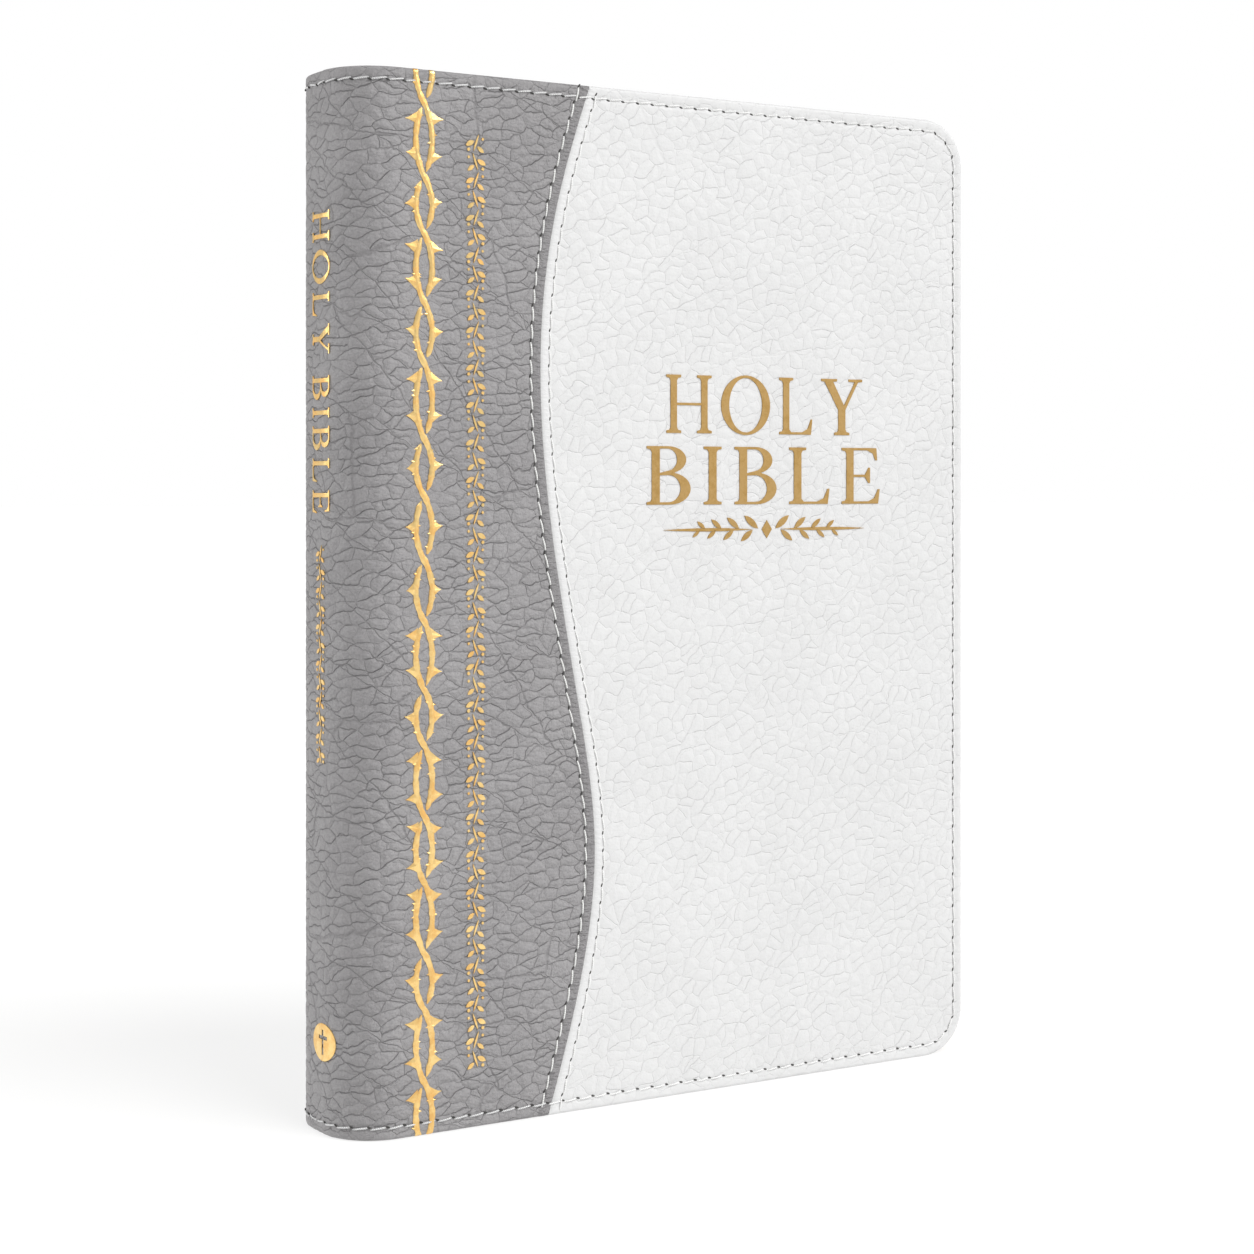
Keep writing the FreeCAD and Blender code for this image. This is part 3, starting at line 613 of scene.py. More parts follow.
def holeShadeMaterial(name, colour, light):
    # punched needle hole: a dark blob of painted shade standing for the shadow inside the hole
    material, tree = newFinish(name)
    place = addNode(tree, "ShaderNodeTexCoord").outputs["Object"]
    specks = addNode(tree, "ShaderNodeTexNoise", None, {"Vector": place, "Scale": 2500.0})
    colour = addNode(tree, "ShaderNodeMix", {"data_type": "RGBA"}, {0: specks, 6: paint(colour), 7: paint(light)})
    shader = addNode(tree, "ShaderNodeBsdfPrincipled", None,
                     {"Base Color": colour.outputs[2], "Roughness": 0.95, "Specular IOR Level": 0.05})
    addNode(tree, "ShaderNodeOutputMaterial", None, {0: shader})
    return material


greyHoleShade = holeShadeMaterial("needleHoleShadeInGreyLeather", "#3c3b3a", "#565554")
whiteHoleShade = holeShadeMaterial("needleHoleShadeInWhiteLeather", "#454443", "#62615f")


def stitchTree():
    tree = bpy.data.node_groups.new("stitchRow", "GeometryNodeTree")
    for label, kind, direction in (("Geometry", "Geometry", "INPUT"), ("Length", "Float", "INPUT"),
                                   ("Thread", "Float", "INPUT"), ("Bow", "Float", "INPUT"), ("Sink", "Float", "INPUT"),
                                   ("Hole", "Float", "INPUT"), ("Pitch", "Float", "INPUT"),
                                   ("Thread finish", "Material", "INPUT"), ("Hole shade finish", "Material", "INPUT"),
                                   ("Geometry", "Geometry", "OUTPUT")):
        tree.interface.new_socket(label, in_out=direction, socket_type="NodeSocket" + kind)
    source = addNode(tree, "NodeGroupInput")
    sizes = {}
    for label, key, factor in (("start", "Length", -0.5), ("end", "Length", 0.5), ("lead", "Length", -0.36),
                               ("trail", "Length", 0.36), ("dip", "Sink", -1.0), ("bow", "Bow", 1.3),
                               ("radius", "Thread", 0.5), ("hole", "Hole", 1.0), ("beside", "Pitch", 0.5)):
        sizes[label] = addNode(tree, "ShaderNodeMath", {"operation": "MULTIPLY"},
                               {0: source.outputs[key], 1: factor * mm})
    spots = {}
    for label, x, z in (("Start", "start", "dip"), ("Start Handle", "lead", "bow"), ("End Handle", "trail", "bow"),
                        ("End", "end", "dip")):
        spots[label] = addNode(tree, "ShaderNodeCombineXYZ", None, {0: sizes[x], 2: sizes[z]})
    arc = addNode(tree, "GeometryNodeCurvePrimitiveBezierSegment", {"mode": "POSITION"},
                  {"Resolution": 6, **spots})
    ring = addNode(tree, "GeometryNodeCurvePrimitiveCircle", {"mode": "RADIUS"},
                   {"Resolution": 7, "Radius": sizes["radius"]})
    thread = addNode(tree, "GeometryNodeCurveToMesh", None,
                     {"Curve": arc, "Profile Curve": ring, "Fill Caps": True})
    ply = addNode(tree, "ShaderNodeVectorMath", {"operation": "SCALE"},
                  {0: addNode(tree, "GeometryNodeInputPosition"), "Scale": 1 / mm})
    thread = addNode(tree, "GeometryNodeStoreNamedAttribute", {"data_type": "FLOAT_VECTOR", "domain": "POINT"},
                     {"Geometry": thread, "Name": "ply", "Value": ply})
    thread = addNode(tree, "GeometryNodeSetShadeSmooth", None, {"Geometry": thread})
    # the needle hole: a flattened dark blob of painted shade
    hole = addNode(tree, "GeometryNodeMeshUVSphere", None, {"Segments": 8, "Rings": 4, "Radius": sizes["hole"]})
    beside = addNode(tree, "ShaderNodeCombineXYZ", None, {0: sizes["beside"]})
    hole = addNode(tree, "GeometryNodeTransform", None,
                   {"Geometry": hole, "Translation": beside, "Rotation": (0, 0, math.radians(-24)),
                    "Scale": (1.0, 0.42, 0.3)})
    along = addNode(tree, "GeometryNodeInputNamedAttribute", {"data_type": "FLOAT_VECTOR"}, {"Name": "along"})
    out = addNode(tree, "GeometryNodeInputNamedAttribute", {"data_type": "FLOAT_VECTOR"}, {"Name": "out"})
    turn = addNode(tree, "FunctionNodeAxesToRotation", {"primary_axis": "Z", "secondary_axis": "X"},
                   {0: out, 1: along})
    joined = addNode(tree, "GeometryNodeJoinGeometry")
    for shape, finish in ((thread, "Thread finish"), (hole, "Hole shade finish")):
        laid = addNode(tree, "GeometryNodeInstanceOnPoints", None,
                       {"Points": source, "Instance": shape, "Rotation": turn})
        real = addNode(tree, "GeometryNodeRealizeInstances", None, {0: laid})
        dressed = addNode(tree, "GeometryNodeSetMaterial", None,
                          {0: real, "Material": source.outputs[finish]})
        tree.links.new(dressed.outputs[0], joined.inputs[0])
    addNode(tree, "NodeGroupOutput", None, {0: joined})
    return tree


stitchNodes = stitchTree()


def evenSpots(s, z, pitch):
    # places along a row of (s, z), a whole number of stitches, with the row's direction
    length = np.concatenate([[0], np.cumsum(np.hypot(np.diff(s), np.diff(z)))])
    count = max(1, round(length[-1] / pitch))
    at = (np.arange(count) + 0.5) * length[-1] / count
    ds = np.interp(at + 0.2, length, s) - np.interp(at - 0.2, length, s)
    dz = np.interp(at + 0.2, length, z) - np.interp(at - 0.2, length, z)
    size = np.hypot(ds, dz)
    return np.interp(at, length, s), np.interp(at, length, z), ds / size, dz / size


def stitchPiece(name, side, row, pitch, thread, hole, holeSize, sunk=0.1):
    s, z, ds, dz = row
    slant = math.radians(stitching["slant"])
    ds, dz = ds * math.cos(slant) - dz * math.sin(slant), ds * math.sin(slant) + dz * math.cos(slant)
    x, y = roundCase(s, sunk, side)
    nx, ny = outward(s, side)
    tangentX, tangentY = np.abs(ny), -nx * side
    along = np.stack([tangentX * ds, tangentY * ds, dz], -1)
    out = np.stack([nx, ny, 0 * nx], -1)
    piece = meshOf(name, np.stack([x, y, z], -1) * mm, [])
    pointValues(piece, "along", "FLOAT_VECTOR", along)
    pointValues(piece, "out", "FLOAT_VECTOR", out)
    return settled(piece, stitchNodes, {"Length": stitching["length"], "Thread": stitching["thread"],
                                        "Bow": stitching["bow"], "Sink": stitching["sink"], "Hole": holeSize,
                                        "Pitch": pitch,
                                        "Thread finish": thread, "Hole shade finish": hole})


def borderRow(inset):
    # half of the case's outline at that inset, from the spine at the tail round to the spine at the head
    r = book["cornerRadius"] - inset
    end = book["width"] - inset
    turns = np.radians(np.linspace(0, 90, 13))
    x = np.concatenate([end - r + r * np.sin(turns), end - r + r * np.cos(turns)])
    z = np.concatenate([inset + r - r * np.cos(turns), book["height"] - inset - r + r * np.sin(turns)])
    s = x - book["radius"] + coverStart
    return np.concatenate([[0], s, [0]]), np.concatenate([[inset], z, [book["height"] - inset]])


def seamRow(offset):
    z = np.linspace(1.0, book["height"] - 1.0, 240)
    slope = seamSlope(z)
    size = np.sqrt(1 + slope ** 2)
    x = seamX(z) + offset / size
    return x - book["radius"] + coverStart, z - offset * slope / size


for name, side in (("front", -1), ("back", 1)):
    row = evenSpots(*borderRow(skin["stitchInset"]), stitching["pitch"])
    s, z = row[:2]
    onGrey = s - coverStart + book["radius"] < seamX(z) - 0.5
    groups = (("SpineStitches", s < jointMiddle, greyThread, greyHoleShade),
              ("HingeStitches", (s >= jointMiddle) & (s < coverStart + 7), greyThread, greyHoleShade),
              ("EdgeStitchesGrey", (s >= coverStart + 7) & onGrey, greyThread, greyHoleShade),
              ("EdgeStitchesWhite", ~onGrey, dullThread, whiteHoleShade))
    for label, chosen, thread, hole in groups:
        holeSize = stitching["hole" if hole is greyHoleShade else "smallHole"]
        piece = stitchPiece(name + label, side, [part[chosen] for part in row], stitching["pitch"],
                            thread, hole, holeSize)
        if label == "SpineStitches":
            blendSpine(piece, side)
            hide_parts("spine_edge_stitches")
        elif label == "HingeStitches":
            blendHinge(piece)
            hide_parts(name + "_joint_stitches")
        else:
            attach(piece, name + "_cover")
            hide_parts(name + "_edge_stitches")
    for label, offset, thread, hole, size in (("Grey", -skin["seamStitch"], whiteThread, greyHoleShade, "hole"),
                                              ("White", skin["seamStitch"], dullThread, whiteHoleShade, "smallHole")):
        row = evenSpots(*seamRow(offset), stitching["seamPitch"])
        piece = stitchPiece(name + "SeamStitches" + label, side, row, stitching["seamPitch"],
                            thread, hole, stitching[size])
        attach(piece, name + "_cover")
        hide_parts(name + "_seam_stitches_" + label.lower())
say("stitching laid")

foil = {"raise": 0.03, "crown": 0.16, "under": -0.12, "vineX": 16.3, "vineSway": 1.75, "vineWidth": 1.22,
        "thornReach": 4.1, "titleX": 96.4, "titleTop": 146.9, "titleTall": 11.9, "lineStep": 14.6,
        "spineTall": 6.7, "spineTop": 177.0, "spineAcross": 1.9, "emblemAcross": 3.0, "emblemZ": 17.8,
        "emblemSize": 7.2, "emblemWide": 1.12}


def foilMaterial(name, bright, deep, rough, fleck):
    # hot stamped metallic foil: satin gold pressed into the grain; random patches shift between a deeper worn tone and
    # a brighter tone that is painted highlight
    material, tree = newFinish(name)
    place = addNode(tree, "ShaderNodeTexCoord").outputs["Object"]
    wearAndGlint = addNode(tree, "ShaderNodeTexNoise", None,
                   {"Vector": place, "Scale": 420.0, "Detail": 4.0, "Roughness": 0.7})
    dents = addNode(tree, "ShaderNodeTexNoise", None, {"Vector": place, "Scale": 900.0, "Detail": 3.0})
    bump = addNode(tree, "ShaderNodeBump", None, {"Strength": 0.5, "Distance": fleck * mm, "Height": dents})
    wornAndGlint = addNode(tree, "ShaderNodeMapRange", {"interpolation_type": "SMOOTHSTEP"},
                   {0: wearAndGlint, 1: 0.35, 2: 0.68})
    # painted highlight: where the noise is low the foil takes the bright colour, standing in for glints; where it is
    # high, the deeper worn colour
    colour = addNode(tree, "ShaderNodeMix", {"data_type": "RGBA"}, {0: wornAndGlint, 6: paint(bright), 7: paint(deep)})
    dull = addNode(tree, "ShaderNodeMapRange", {"interpolation_type": "SMOOTHSTEP"},
                   {0: wearAndGlint, 1: 0.3, 2: 0.7, 3: rough - 0.06, 4: rough + 0.14})
    shader = addNode(tree, "ShaderNodeBsdfPrincipled", None,
                     {"Base Color": colour.outputs[2], "Metallic": 0.85, "Roughness": dull, "Normal": bump})
    addNode(tree, "ShaderNodeOutputMaterial", None, {0: shader})
    return material


vineGold = foilMaterial("warmGoldFoil", "#f8d691", "#e6b76e", 0.34, 0.12)
titleGold = foilMaterial("antiqueGoldFoil", "#bf9d66", "#a98850", 0.42, 0.06)


def onFront(x, z, raised):
    # a point on the front cover's face, held flat in the cover's plane
    depth = edgeDrop(np.minimum(z, book["height"] - z)) - raised
    return np.stack([x + book["spineX"], depth - book["half"], z], -1)


def tube(rings):
    # closed skin over a row of rings with flat ends
    count = len(rings)
    around = len(rings[0])
    points = np.concatenate(rings)
    index = np.arange(count * around).reshape(count, around)
    following = np.roll(index, -1, 1)
    quads = np.stack([index[:-1], index[1:], following[1:], following[:-1]], -1).reshape(-1, 4)
    return points, [tuple(q) for q in quads] + [tuple(index[0]), tuple(index[-1][::-1])]


def vineStrand(zs, xs, widths):
    across = np.array([-0.5, -0.34, 0.0, 0.34, 0.5, 0.0])
    lift = np.array([0.0, 0.75, 1.0, 0.75, 0.0, 0.0])
    lean = np.gradient(xs, zs)
    rings = []
    for z, x, width, slope in zip(zs, xs, widths, lean):
        size = math.hypot(1, slope)
        crown = foil["raise"] + (foil["crown"] - foil["raise"]) * min(1.0, width / foil["vineWidth"])
        raised = foil["raise"] * (lift == 0) + crown * lift
        raised[-1] = foil["under"]
        level = np.clip(z - across * width * slope / size, 0, book["height"])
        rings.append(onFront(x + across * width / size, level, raised))
    return tube(rings)


def vineThorn(x, z, side, reach, base, droop):
    # a hooked thorn growing out of the strand, domed along its middle
    t = np.linspace(0, 1, 7)
    flare = base * (1 - t) ** 1.35 / 2
    spineZ = z + droop * t ** 1.5
    spineX = x + side * reach * t
    ring = np.concatenate([np.stack([spineX, spineZ + flare], -1), np.stack([spineX, spineZ - flare], -1)[-2::-1]])
    ring = ring if side < 0 else ring[::-1]
    count = len(ring)
    top = onFront(ring[:, 0], ring[:, 1], 0.02)
    bottom = onFront(ring[:, 0], ring[:, 1], foil["under"])
    centre = np.array([onFront(np.array(x + side * reach * 0.12), np.array(z), foil["crown"])])
    points = np.concatenate([top, bottom, centre])
    faces = []
    for i in range(count):
        j = (i + 1) % count
        faces.append((i, j, 2 * count))
        faces.append((i, i + count, j + count, j))
    faces.append(tuple(range(2 * count - 1, count - 1, -1)))
    return points, faces


def gathered(name, parts, material):
    points, faces, start = [], [], 0
    for somePoints, someFaces in parts:
        points.append(np.asarray(somePoints))
        faces += [tuple(int(i) + start for i in face) for face in someFaces]
        start += len(somePoints)
    return meshOf(name, np.concatenate(points) * mm, faces, material)


def outwardFaces(piece):
    work = bmesh.new()
    work.from_mesh(piece.data)
    bmesh.ops.recalc_face_normals(work, faces=work.faces)
    work.to_mesh(piece.data)
    work.free()
    return piece


def makeVine():
    chance = np.random.default_rng(41)
    cells = []
    while sum(cells) < book["height"]:
        cells.append((12.3, 13.9, 10.9, 12.9)[len(cells) % 4] * (1 + 0.04 * chance.standard_normal()))
    crossings = np.concatenate([[0], np.cumsum(cells)]) - cells[0] * 0.45
    crossings = book["height"] - crossings[::-1]
    parts = []
    fine = np.arange(0, book["height"] + 0.01, 0.34)
    for strand in (0, 1):
        phase = np.interp(fine, crossings, np.arange(len(crossings)))
        swing = np.sin(math.pi * (phase + strand))
        xs = foil["vineX"] + foil["vineSway"] * np.sign(swing) * np.abs(swing) ** 0.82
        uneven = 1 + 0.10 * np.sin(fine * 1.9 + strand * 2.2) + 0.06 * np.sin(fine * 4.3 + strand)
        widths = foil["vineWidth"] * uneven
        # the strand that runs from the spine side up to the fore-edge side is underneath
        nearest = np.abs(fine[:, None] - crossings[None, :]).argmin(1)
        away = np.abs(fine - crossings[nearest])
        rising = np.cos(math.pi * (nearest + strand)) > 0
        widths = np.where(rising, widths * smoothStep(away, 0.35, 2.5), widths)
        keep = widths > 0.12
        start = None
        for i in range(len(fine) + 1):
            if i < len(fine) and keep[i]:
                start = i if start is None else start
            elif start is not None:
                if i - start > 3:
                    parts.append(vineStrand(fine[start:i], xs[start:i], widths[start:i]))
                start = None
        for cell in range(len(crossings) - 1):
            low, high = crossings[cell], crossings[cell + 1]
            side = 1 if math.sin(math.pi * (cell + 0.5 + strand)) > 0 else -1
            shares = (0.28, 0.8) if high - low > 12.6 else (0.52,)
            for share in shares:
                z = low + (high - low) * share + chance.uniform(-0.3, 0.3)
                if not 1.5 < z < book["height"] - 1.5:
                    continue
                root = float(np.interp(z, fine, xs)) + side * 0.15
                reach = foil["thornReach"] * chance.uniform(0.9, 1.04) - abs(root - foil["vineX"])
                parts.append(vineThorn(root, z, side, reach, chance.uniform(2.5, 3.2), chance.uniform(-0.5, 0.7)))
            for _ in range(3):
                z = low + (high - low) * chance.uniform(0.2, 0.85)
                facing = side * (1 if chance.random() < 0.65 else -1)
                if 1.5 < z < book["height"] - 1.5:
                    root = float(np.interp(z, fine, xs)) + facing * 0.35
                    parts.append(vineThorn(root, z, facing, chance.uniform(0.6, 0.85), chance.uniform(0.6, 0.9),
                                           chance.uniform(-0.2, 0.2)))
    return outwardFaces(gathered("frontVineFoil", parts, vineGold))


# capitals on a square of height 1: thick stems, hairline serifs; each entry is a list of closed outlines
thin, stem, serif = 0.042, 0.125, 0.08


def arcPoints(cx, cy, rx, ry, start, end, count=14):
    turns = np.radians(np.linspace(start, end, count))
    return [(cx + rx * math.cos(t), cy + ry * math.sin(t)) for t in turns]


def stemLeft(x, low=0.0, high=1.0):
    # left side of a stem from its head serif down to its foot serif
    b = 0.06
    return [(x - serif, high), (x - serif, high - thin), (x - 0.02, high - thin - 0.015), (x, high - thin - b),
            (x, low + thin + b), (x - 0.02, low + thin + 0.015), (x - serif, low + thin), (x - serif, low)]


def stemRight(x, low=0.0, high=1.0):
    b = 0.06
    return [(x + serif, low), (x + serif, low + thin), (x + 0.02, low + thin + 0.015), (x, low + thin + b),
            (x, high - thin - b), (x + 0.02, high - thin - 0.015), (x + serif, high - thin), (x + serif, high)]


def capitals():
    s, k, t = serif, stem, thin
    half = 0.5 + t / 2
    glyphs = {}
    right = 0.88 - s
    left = s
    foot = stemRight(left + k)
    inner = stemLeft(right - k)
    glyphs["H"] = (0.88, [stemLeft(left) + foot[:4] + [(left + k, half - t), (right - k, half - t)] + inner[4:]
                          + stemRight(right) + inner[:4] + [(right - k, half), (left + k, half)] + foot[4:]])
    glyphs["I"] = (2 * s + k, [stemLeft(left) + stemRight(left + k)])
    glyphs["L"] = (0.68, [stemLeft(left) + [(0.65, 0), (0.68, 0.27), (0.645, 0.27), (0.58, 0.1), (0.47, t),
                                            (left + k + 0.04, t), (left + k, t + 0.05)] + foot[4:]])
    glyphs["E"] = (0.66, [stemLeft(left) + [(0.63, 0), (0.66, 0.26), (0.625, 0.26), (0.56, 0.1), (0.46, t),
                                            (left + k, t), (left + k, half - t), (0.4, half - t),
                                            (0.46, 0.37), (0.49, 0.37), (0.49, 0.65), (0.46, 0.65), (0.4, half),
                                            (left + k, half), (left + k, 1 - t), (0.44, 1 - t),
                                            (0.54, 0.9), (0.58, 0.78), (0.615, 0.78), (0.6, 1)]])
    glyphs["Y"] = (0.86, [[(0, 1), (0, 1 - t), (0.07, 1 - t - 0.01), (0.355, 0.45), (0.355, t + 0.06),
                           (0.335, t + 0.015), (0.27, t), (0.27, 0), (0.59, 0), (0.59, t), (0.525, t + 0.015),
                           (0.505, t + 0.06), (0.505, 0.45), (0.77, 1 - t - 0.01), (0.86, 1 - t), (0.86, 1),
                           (0.57, 1), (0.57, 1 - t), (0.7, 1 - t - 0.01),
                           (0.475, 0.53), (0.25, 1 - t - 0.01), (0.33, 1 - t), (0.33, 1)]])
    glyphs["O"] = (0.98, [arcPoints(0.49, 0.5, 0.49, 0.52, 90, 449, 40),
                          arcPoints(0.49, 0.5, 0.33, 0.475, 449, 90, 40)])
    bOuter = (stemLeft(left) + arcPoints(0.36, 0.275, 0.33, 0.275, -90, 75)
              + arcPoints(0.34, 0.77, 0.28, 0.23, -70, 90))
    bLow = [(left + k, 0.5), (left + k, t)] + arcPoints(0.34, 0.275, 0.19, 0.275 - t, -90, 85)
    bHigh = [(left + k, 1 - t), (left + k, 0.5 + t)] + arcPoints(0.33, 0.77, 0.145, 0.23 - t, -85, 90)
    glyphs["B"] = (0.69, [bOuter, bLow, bHigh])
    return glyphs


glyphs = capitals()


def flatPiece(outlines, thick, bevel):
    # closed outlines filled as one thin slab with softened edges, in its own plane
    curve = bpy.data.curves.new("stampOutline", "CURVE")
    curve.dimensions = "2D"
    curve.fill_mode = "BOTH"
    curve.extrude = thick / 2
    curve.bevel_depth = bevel
    curve.bevel_resolution = 0
    curve.offset = -bevel
    for outline in outlines:
        spline = curve.splines.new("POLY")
        spline.points.add(len(outline) - 1)
        for point, (u, v) in zip(spline.points, outline):
            point.co = (u, v, 0, 1)
        spline.use_cyclic_u = True
    shape = bpy.data.objects.new("stampOutline", curve)
    bpy.context.scene.collection.objects.link(shape)
    bpy.context.view_layer.update()
    mesh = bpy.data.meshes.new_from_object(shape.evaluated_get(bpy.context.evaluated_depsgraph_get()))
    bpy.data.objects.remove(shape)
    return mesh


def letterRow(text, tall, wide, total):
    # outlines of a word set to a given length, starting at 0
    widths = [glyphs[c][0] * tall * wide for c in text if c != " "]
    words = text.count(" ")
    gap = (total - sum(widths)) / (len(widths) - 1 + 1.6 * words)
    outlines, x = [], 0.0
    for c in text:
        if c == " ":
            x += 1.6 * gap
            continue
        outlines += [[(x + u * tall * wide, v * tall) for u, v in outline] for outline in glyphs[c][1]]
        x += glyphs[c][0] * tall * wide + gap
    return outlines


def leafOutline(x, y, length, width, angle, count=7):
    t = np.linspace(0, 1, count)
    swell = width / 2 * np.sin(math.pi * t) ** 0.8
    c, s = math.cos(math.radians(angle)), math.sin(math.radians(angle))
    side = [(length * a, b) for a, b in zip(t, swell)]
    side += [(length * a, -b) for a, b in zip(t[::-1], swell[::-1])][1:-1]
    return [(x + c * a - s * b, y + s * a + c * b) for a, b in side][::-1]


def sprigRow(length, tall, step, stroke):
    # a running sprig: a waving stem with a leaf or a berry at each turn, as separate stamped strokes
    outlines = []
    count = round(length / step)
    step = length / count
    for i in range(count):
        x = (i + 0.5) * step
        up = 1 if i % 2 else -1
        rise = math.degrees(math.atan2(up * tall * 0.3, step))
        outlines.append(leafOutline(x - step * 0.46, -up * tall * 0.16, step * 0.98, stroke, rise))
        outlines.append(leafOutline(x - step * 0.1, up * tall * 0.08, tall * 0.5, tall * 0.24, up * 62))
        outlines.append(leafOutline(x + step * 0.2, -up * tall * 0.08, tall * 0.44, tall * 0.2, -up * 52))
        outlines.append(leafOutline(x + step * 0.28, up * tall * 0.34, tall * 0.18, tall * 0.17, up * 20, 5))
        outlines.append(leafOutline(x - step * 0.3, -up * tall * 0.34, tall * 0.15, tall * 0.14, -up * 20, 5))
    return outlines


def stamped(name, outlines, place, material, thick=0.12, bevel=0.035, cuts=0):
    parts = []
    for group in outlines:
        mesh = flatPiece(group, thick, bevel)
        if cuts:
            work = bmesh.new()
            work.from_mesh(mesh)
            bmesh.ops.triangulate(work, faces=work.faces)
            bmesh.ops.subdivide_edges(work, edges=work.edges, cuts=cuts, use_grid_fill=True)
            work.to_mesh(mesh)
            work.free()
        points = np.array([v.co for v in mesh.vertices]).reshape(-1, 3)
        parts.append((place(points), [tuple(p.vertices) for p in mesh.polygons]))
        bpy.data.meshes.remove(mesh)
    return gathered(name, parts, material)


def onCover(x0, z0, turned=False):
    def place(points):
        u, v, w = points.T
        x, z = (x0 + v, z0 - u) if turned else (x0 + u, z0 + v)
        return onFront(x, z, w + foil["raise"])
    return place


def onSpine(z0, across):
    # words run down the spine with their heads towards the front cover
    def place(points):
        u, v, w = points.T
        s = across + v
        x, y = roundCase(np.abs(s), -(w + foil["raise"]), -1)
        return np.stack([x, np.where(s > 0, y, -y), z0 - u], -1)
    return place


vine = makeVine()
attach(vine, "front_cover")
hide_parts("front_vine_foil")

verse = stamped("frontVerseSprigFoil", [[outline] for outline in sprigRow(181.0, 4.2, 3.6, 0.42)],
                onCover(27.5, 192.5, True), vineGold, 0.1, 0.02)
ornament = []
for side in (-1, 1):
    turn = 0 if side > 0 else 180
    ornament.append(leafOutline(0.0 + side * 3.6, 0, 22.0, 0.7, turn))
    for i, (away, length) in enumerate(((2.2, 4.4), (7.0, 3.8), (11.4, 3.2), (15.4, 2.6))):
        ornament.append(leafOutline(side * away, 0.15, length, length * 0.32, 90 - side * 52))
        ornament.append(leafOutline(side * (away + 1.4), -0.15, length * 0.85, length * 0.28, -90 + side * 52))
ornament.append([(0, -1.9), (1.3, 0), (0, 1.9), (-1.3, 0)])
titleZ = foil["titleTop"] - foil["titleTall"] - foil["lineStep"] - 5.2
groups = []
for text, wide, total, x0, z0 in (("HOLY", 1.06, 49.9, -24.95, foil["titleTop"] - foil["titleTall"]),
                                  ("BIBLE", 1.3, 59.4, -29.7, foil["titleTop"] - foil["titleTall"] - foil["lineStep"])):
    rows = letterRow(text, foil["titleTall"], wide, total)
    start = 0
    for c in text:
        count = len(glyphs[c][1])
        groups.append([[(foil["titleX"] + x0 + u, z0 + v) for u, v in outline]
                       for outline in rows[start:start + count]])
        start += count
groups += [[[(foil["titleX"] + u, titleZ + v) for u, v in outline]] for outline in ornament]
titlePiece = stamped("frontTitleFoil", groups, onCover(0, 0), titleGold, 0.12, 0.03)

rows = letterRow("HOLY BIBLE", foil["spineTall"], 1.0, 58.0)
groups, start = [], 0
for c in "HOLYBIBLE":
    count = len(glyphs[c][1])
    groups.append(rows[start:start + count])
    start += count
groups += [[[(u + 64.0, v + foil["spineTall"] / 2) for u, v in outline]]
           for outline in sprigRow(42.0, 3.6, 3.5, 0.4)]
spineTitle = stamped("spineTitleFoil", groups,
                     onSpine(foil["spineTop"], foil["spineAcross"] - foil["spineTall"] / 2), vineGold, 0.12, 0.02, 3)

r = foil["emblemSize"] / 2
cross = [(-0.35, -2.4), (0.35, -2.4), (0.35, 0.55), (1.6, 0.55), (1.6, 1.25), (0.35, 1.25), (0.35, 2.4),
         (-0.35, 2.4), (-0.35, 1.25), (-1.6, 1.25), (-1.6, 0.55), (-0.35, 0.55)]
groups = [[arcPoints(0, 0, r, r * foil["emblemWide"], 0, 351, 40), [(-y, x) for x, y in cross]]]
emblem = stamped("spineEmblemFoil", groups, onSpine(foil["emblemZ"], foil["emblemAcross"]), vineGold,
                 0.12, 0.03, 3)

for piece, body, node in ((verse, "front_cover", "front_verse_ornament_foil"),
                          (titlePiece, "front_cover", "front_title_foil"),
                          (spineTitle, "spine", "spine_title_foil"), (emblem, "spine", "spine_emblem_foil")):
    outwardFaces(piece)
    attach(piece, body)
    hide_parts(node)
say("gold stamping made")

# each section of pages is a stack of its own leaves
pages = {"leaves": 9, "fill": 0.9, "corner": 8.0, "taper": 10.0, "fold": 0.25, "ragged": 0.05}


def paperMaterial(name, colour, shade, grainScale):
    # thin smooth printing paper: faint mottled fibre, almost no sheen
    material, tree = newFinish(name)
    place = addNode(tree, "ShaderNodeTexCoord").outputs["Object"]
    fibre = addNode(tree, "ShaderNodeTexNoise", None, {"Vector": place, "Scale": grainScale, "Detail": 5.0})
    bump = addNode(tree, "ShaderNodeBump", None, {"Strength": 0.3, "Distance": 0.03 * mm, "Height": fibre})
    colour = addNode(tree, "ShaderNodeMix", {"data_type": "RGBA"}, {0: fibre, 6: paint(colour), 7: paint(shade)})
    shader = addNode(tree, "ShaderNodeBsdfPrincipled", None,
                     {"Base Color": colour.outputs[2], "Normal": bump, "Roughness": 0.8, "Specular IOR Level": 0.15})
    addNode(tree, "ShaderNodeOutputMaterial", None, {0: shader})
    return material


pagePaper = paperMaterial("thinIndiaPaper", "#f6f2e8", "#ece6d8", 900.0)
endPaper = paperMaterial("whiteEndpaperStock", "#f4f3f0", "#e6e4df", 700.0)


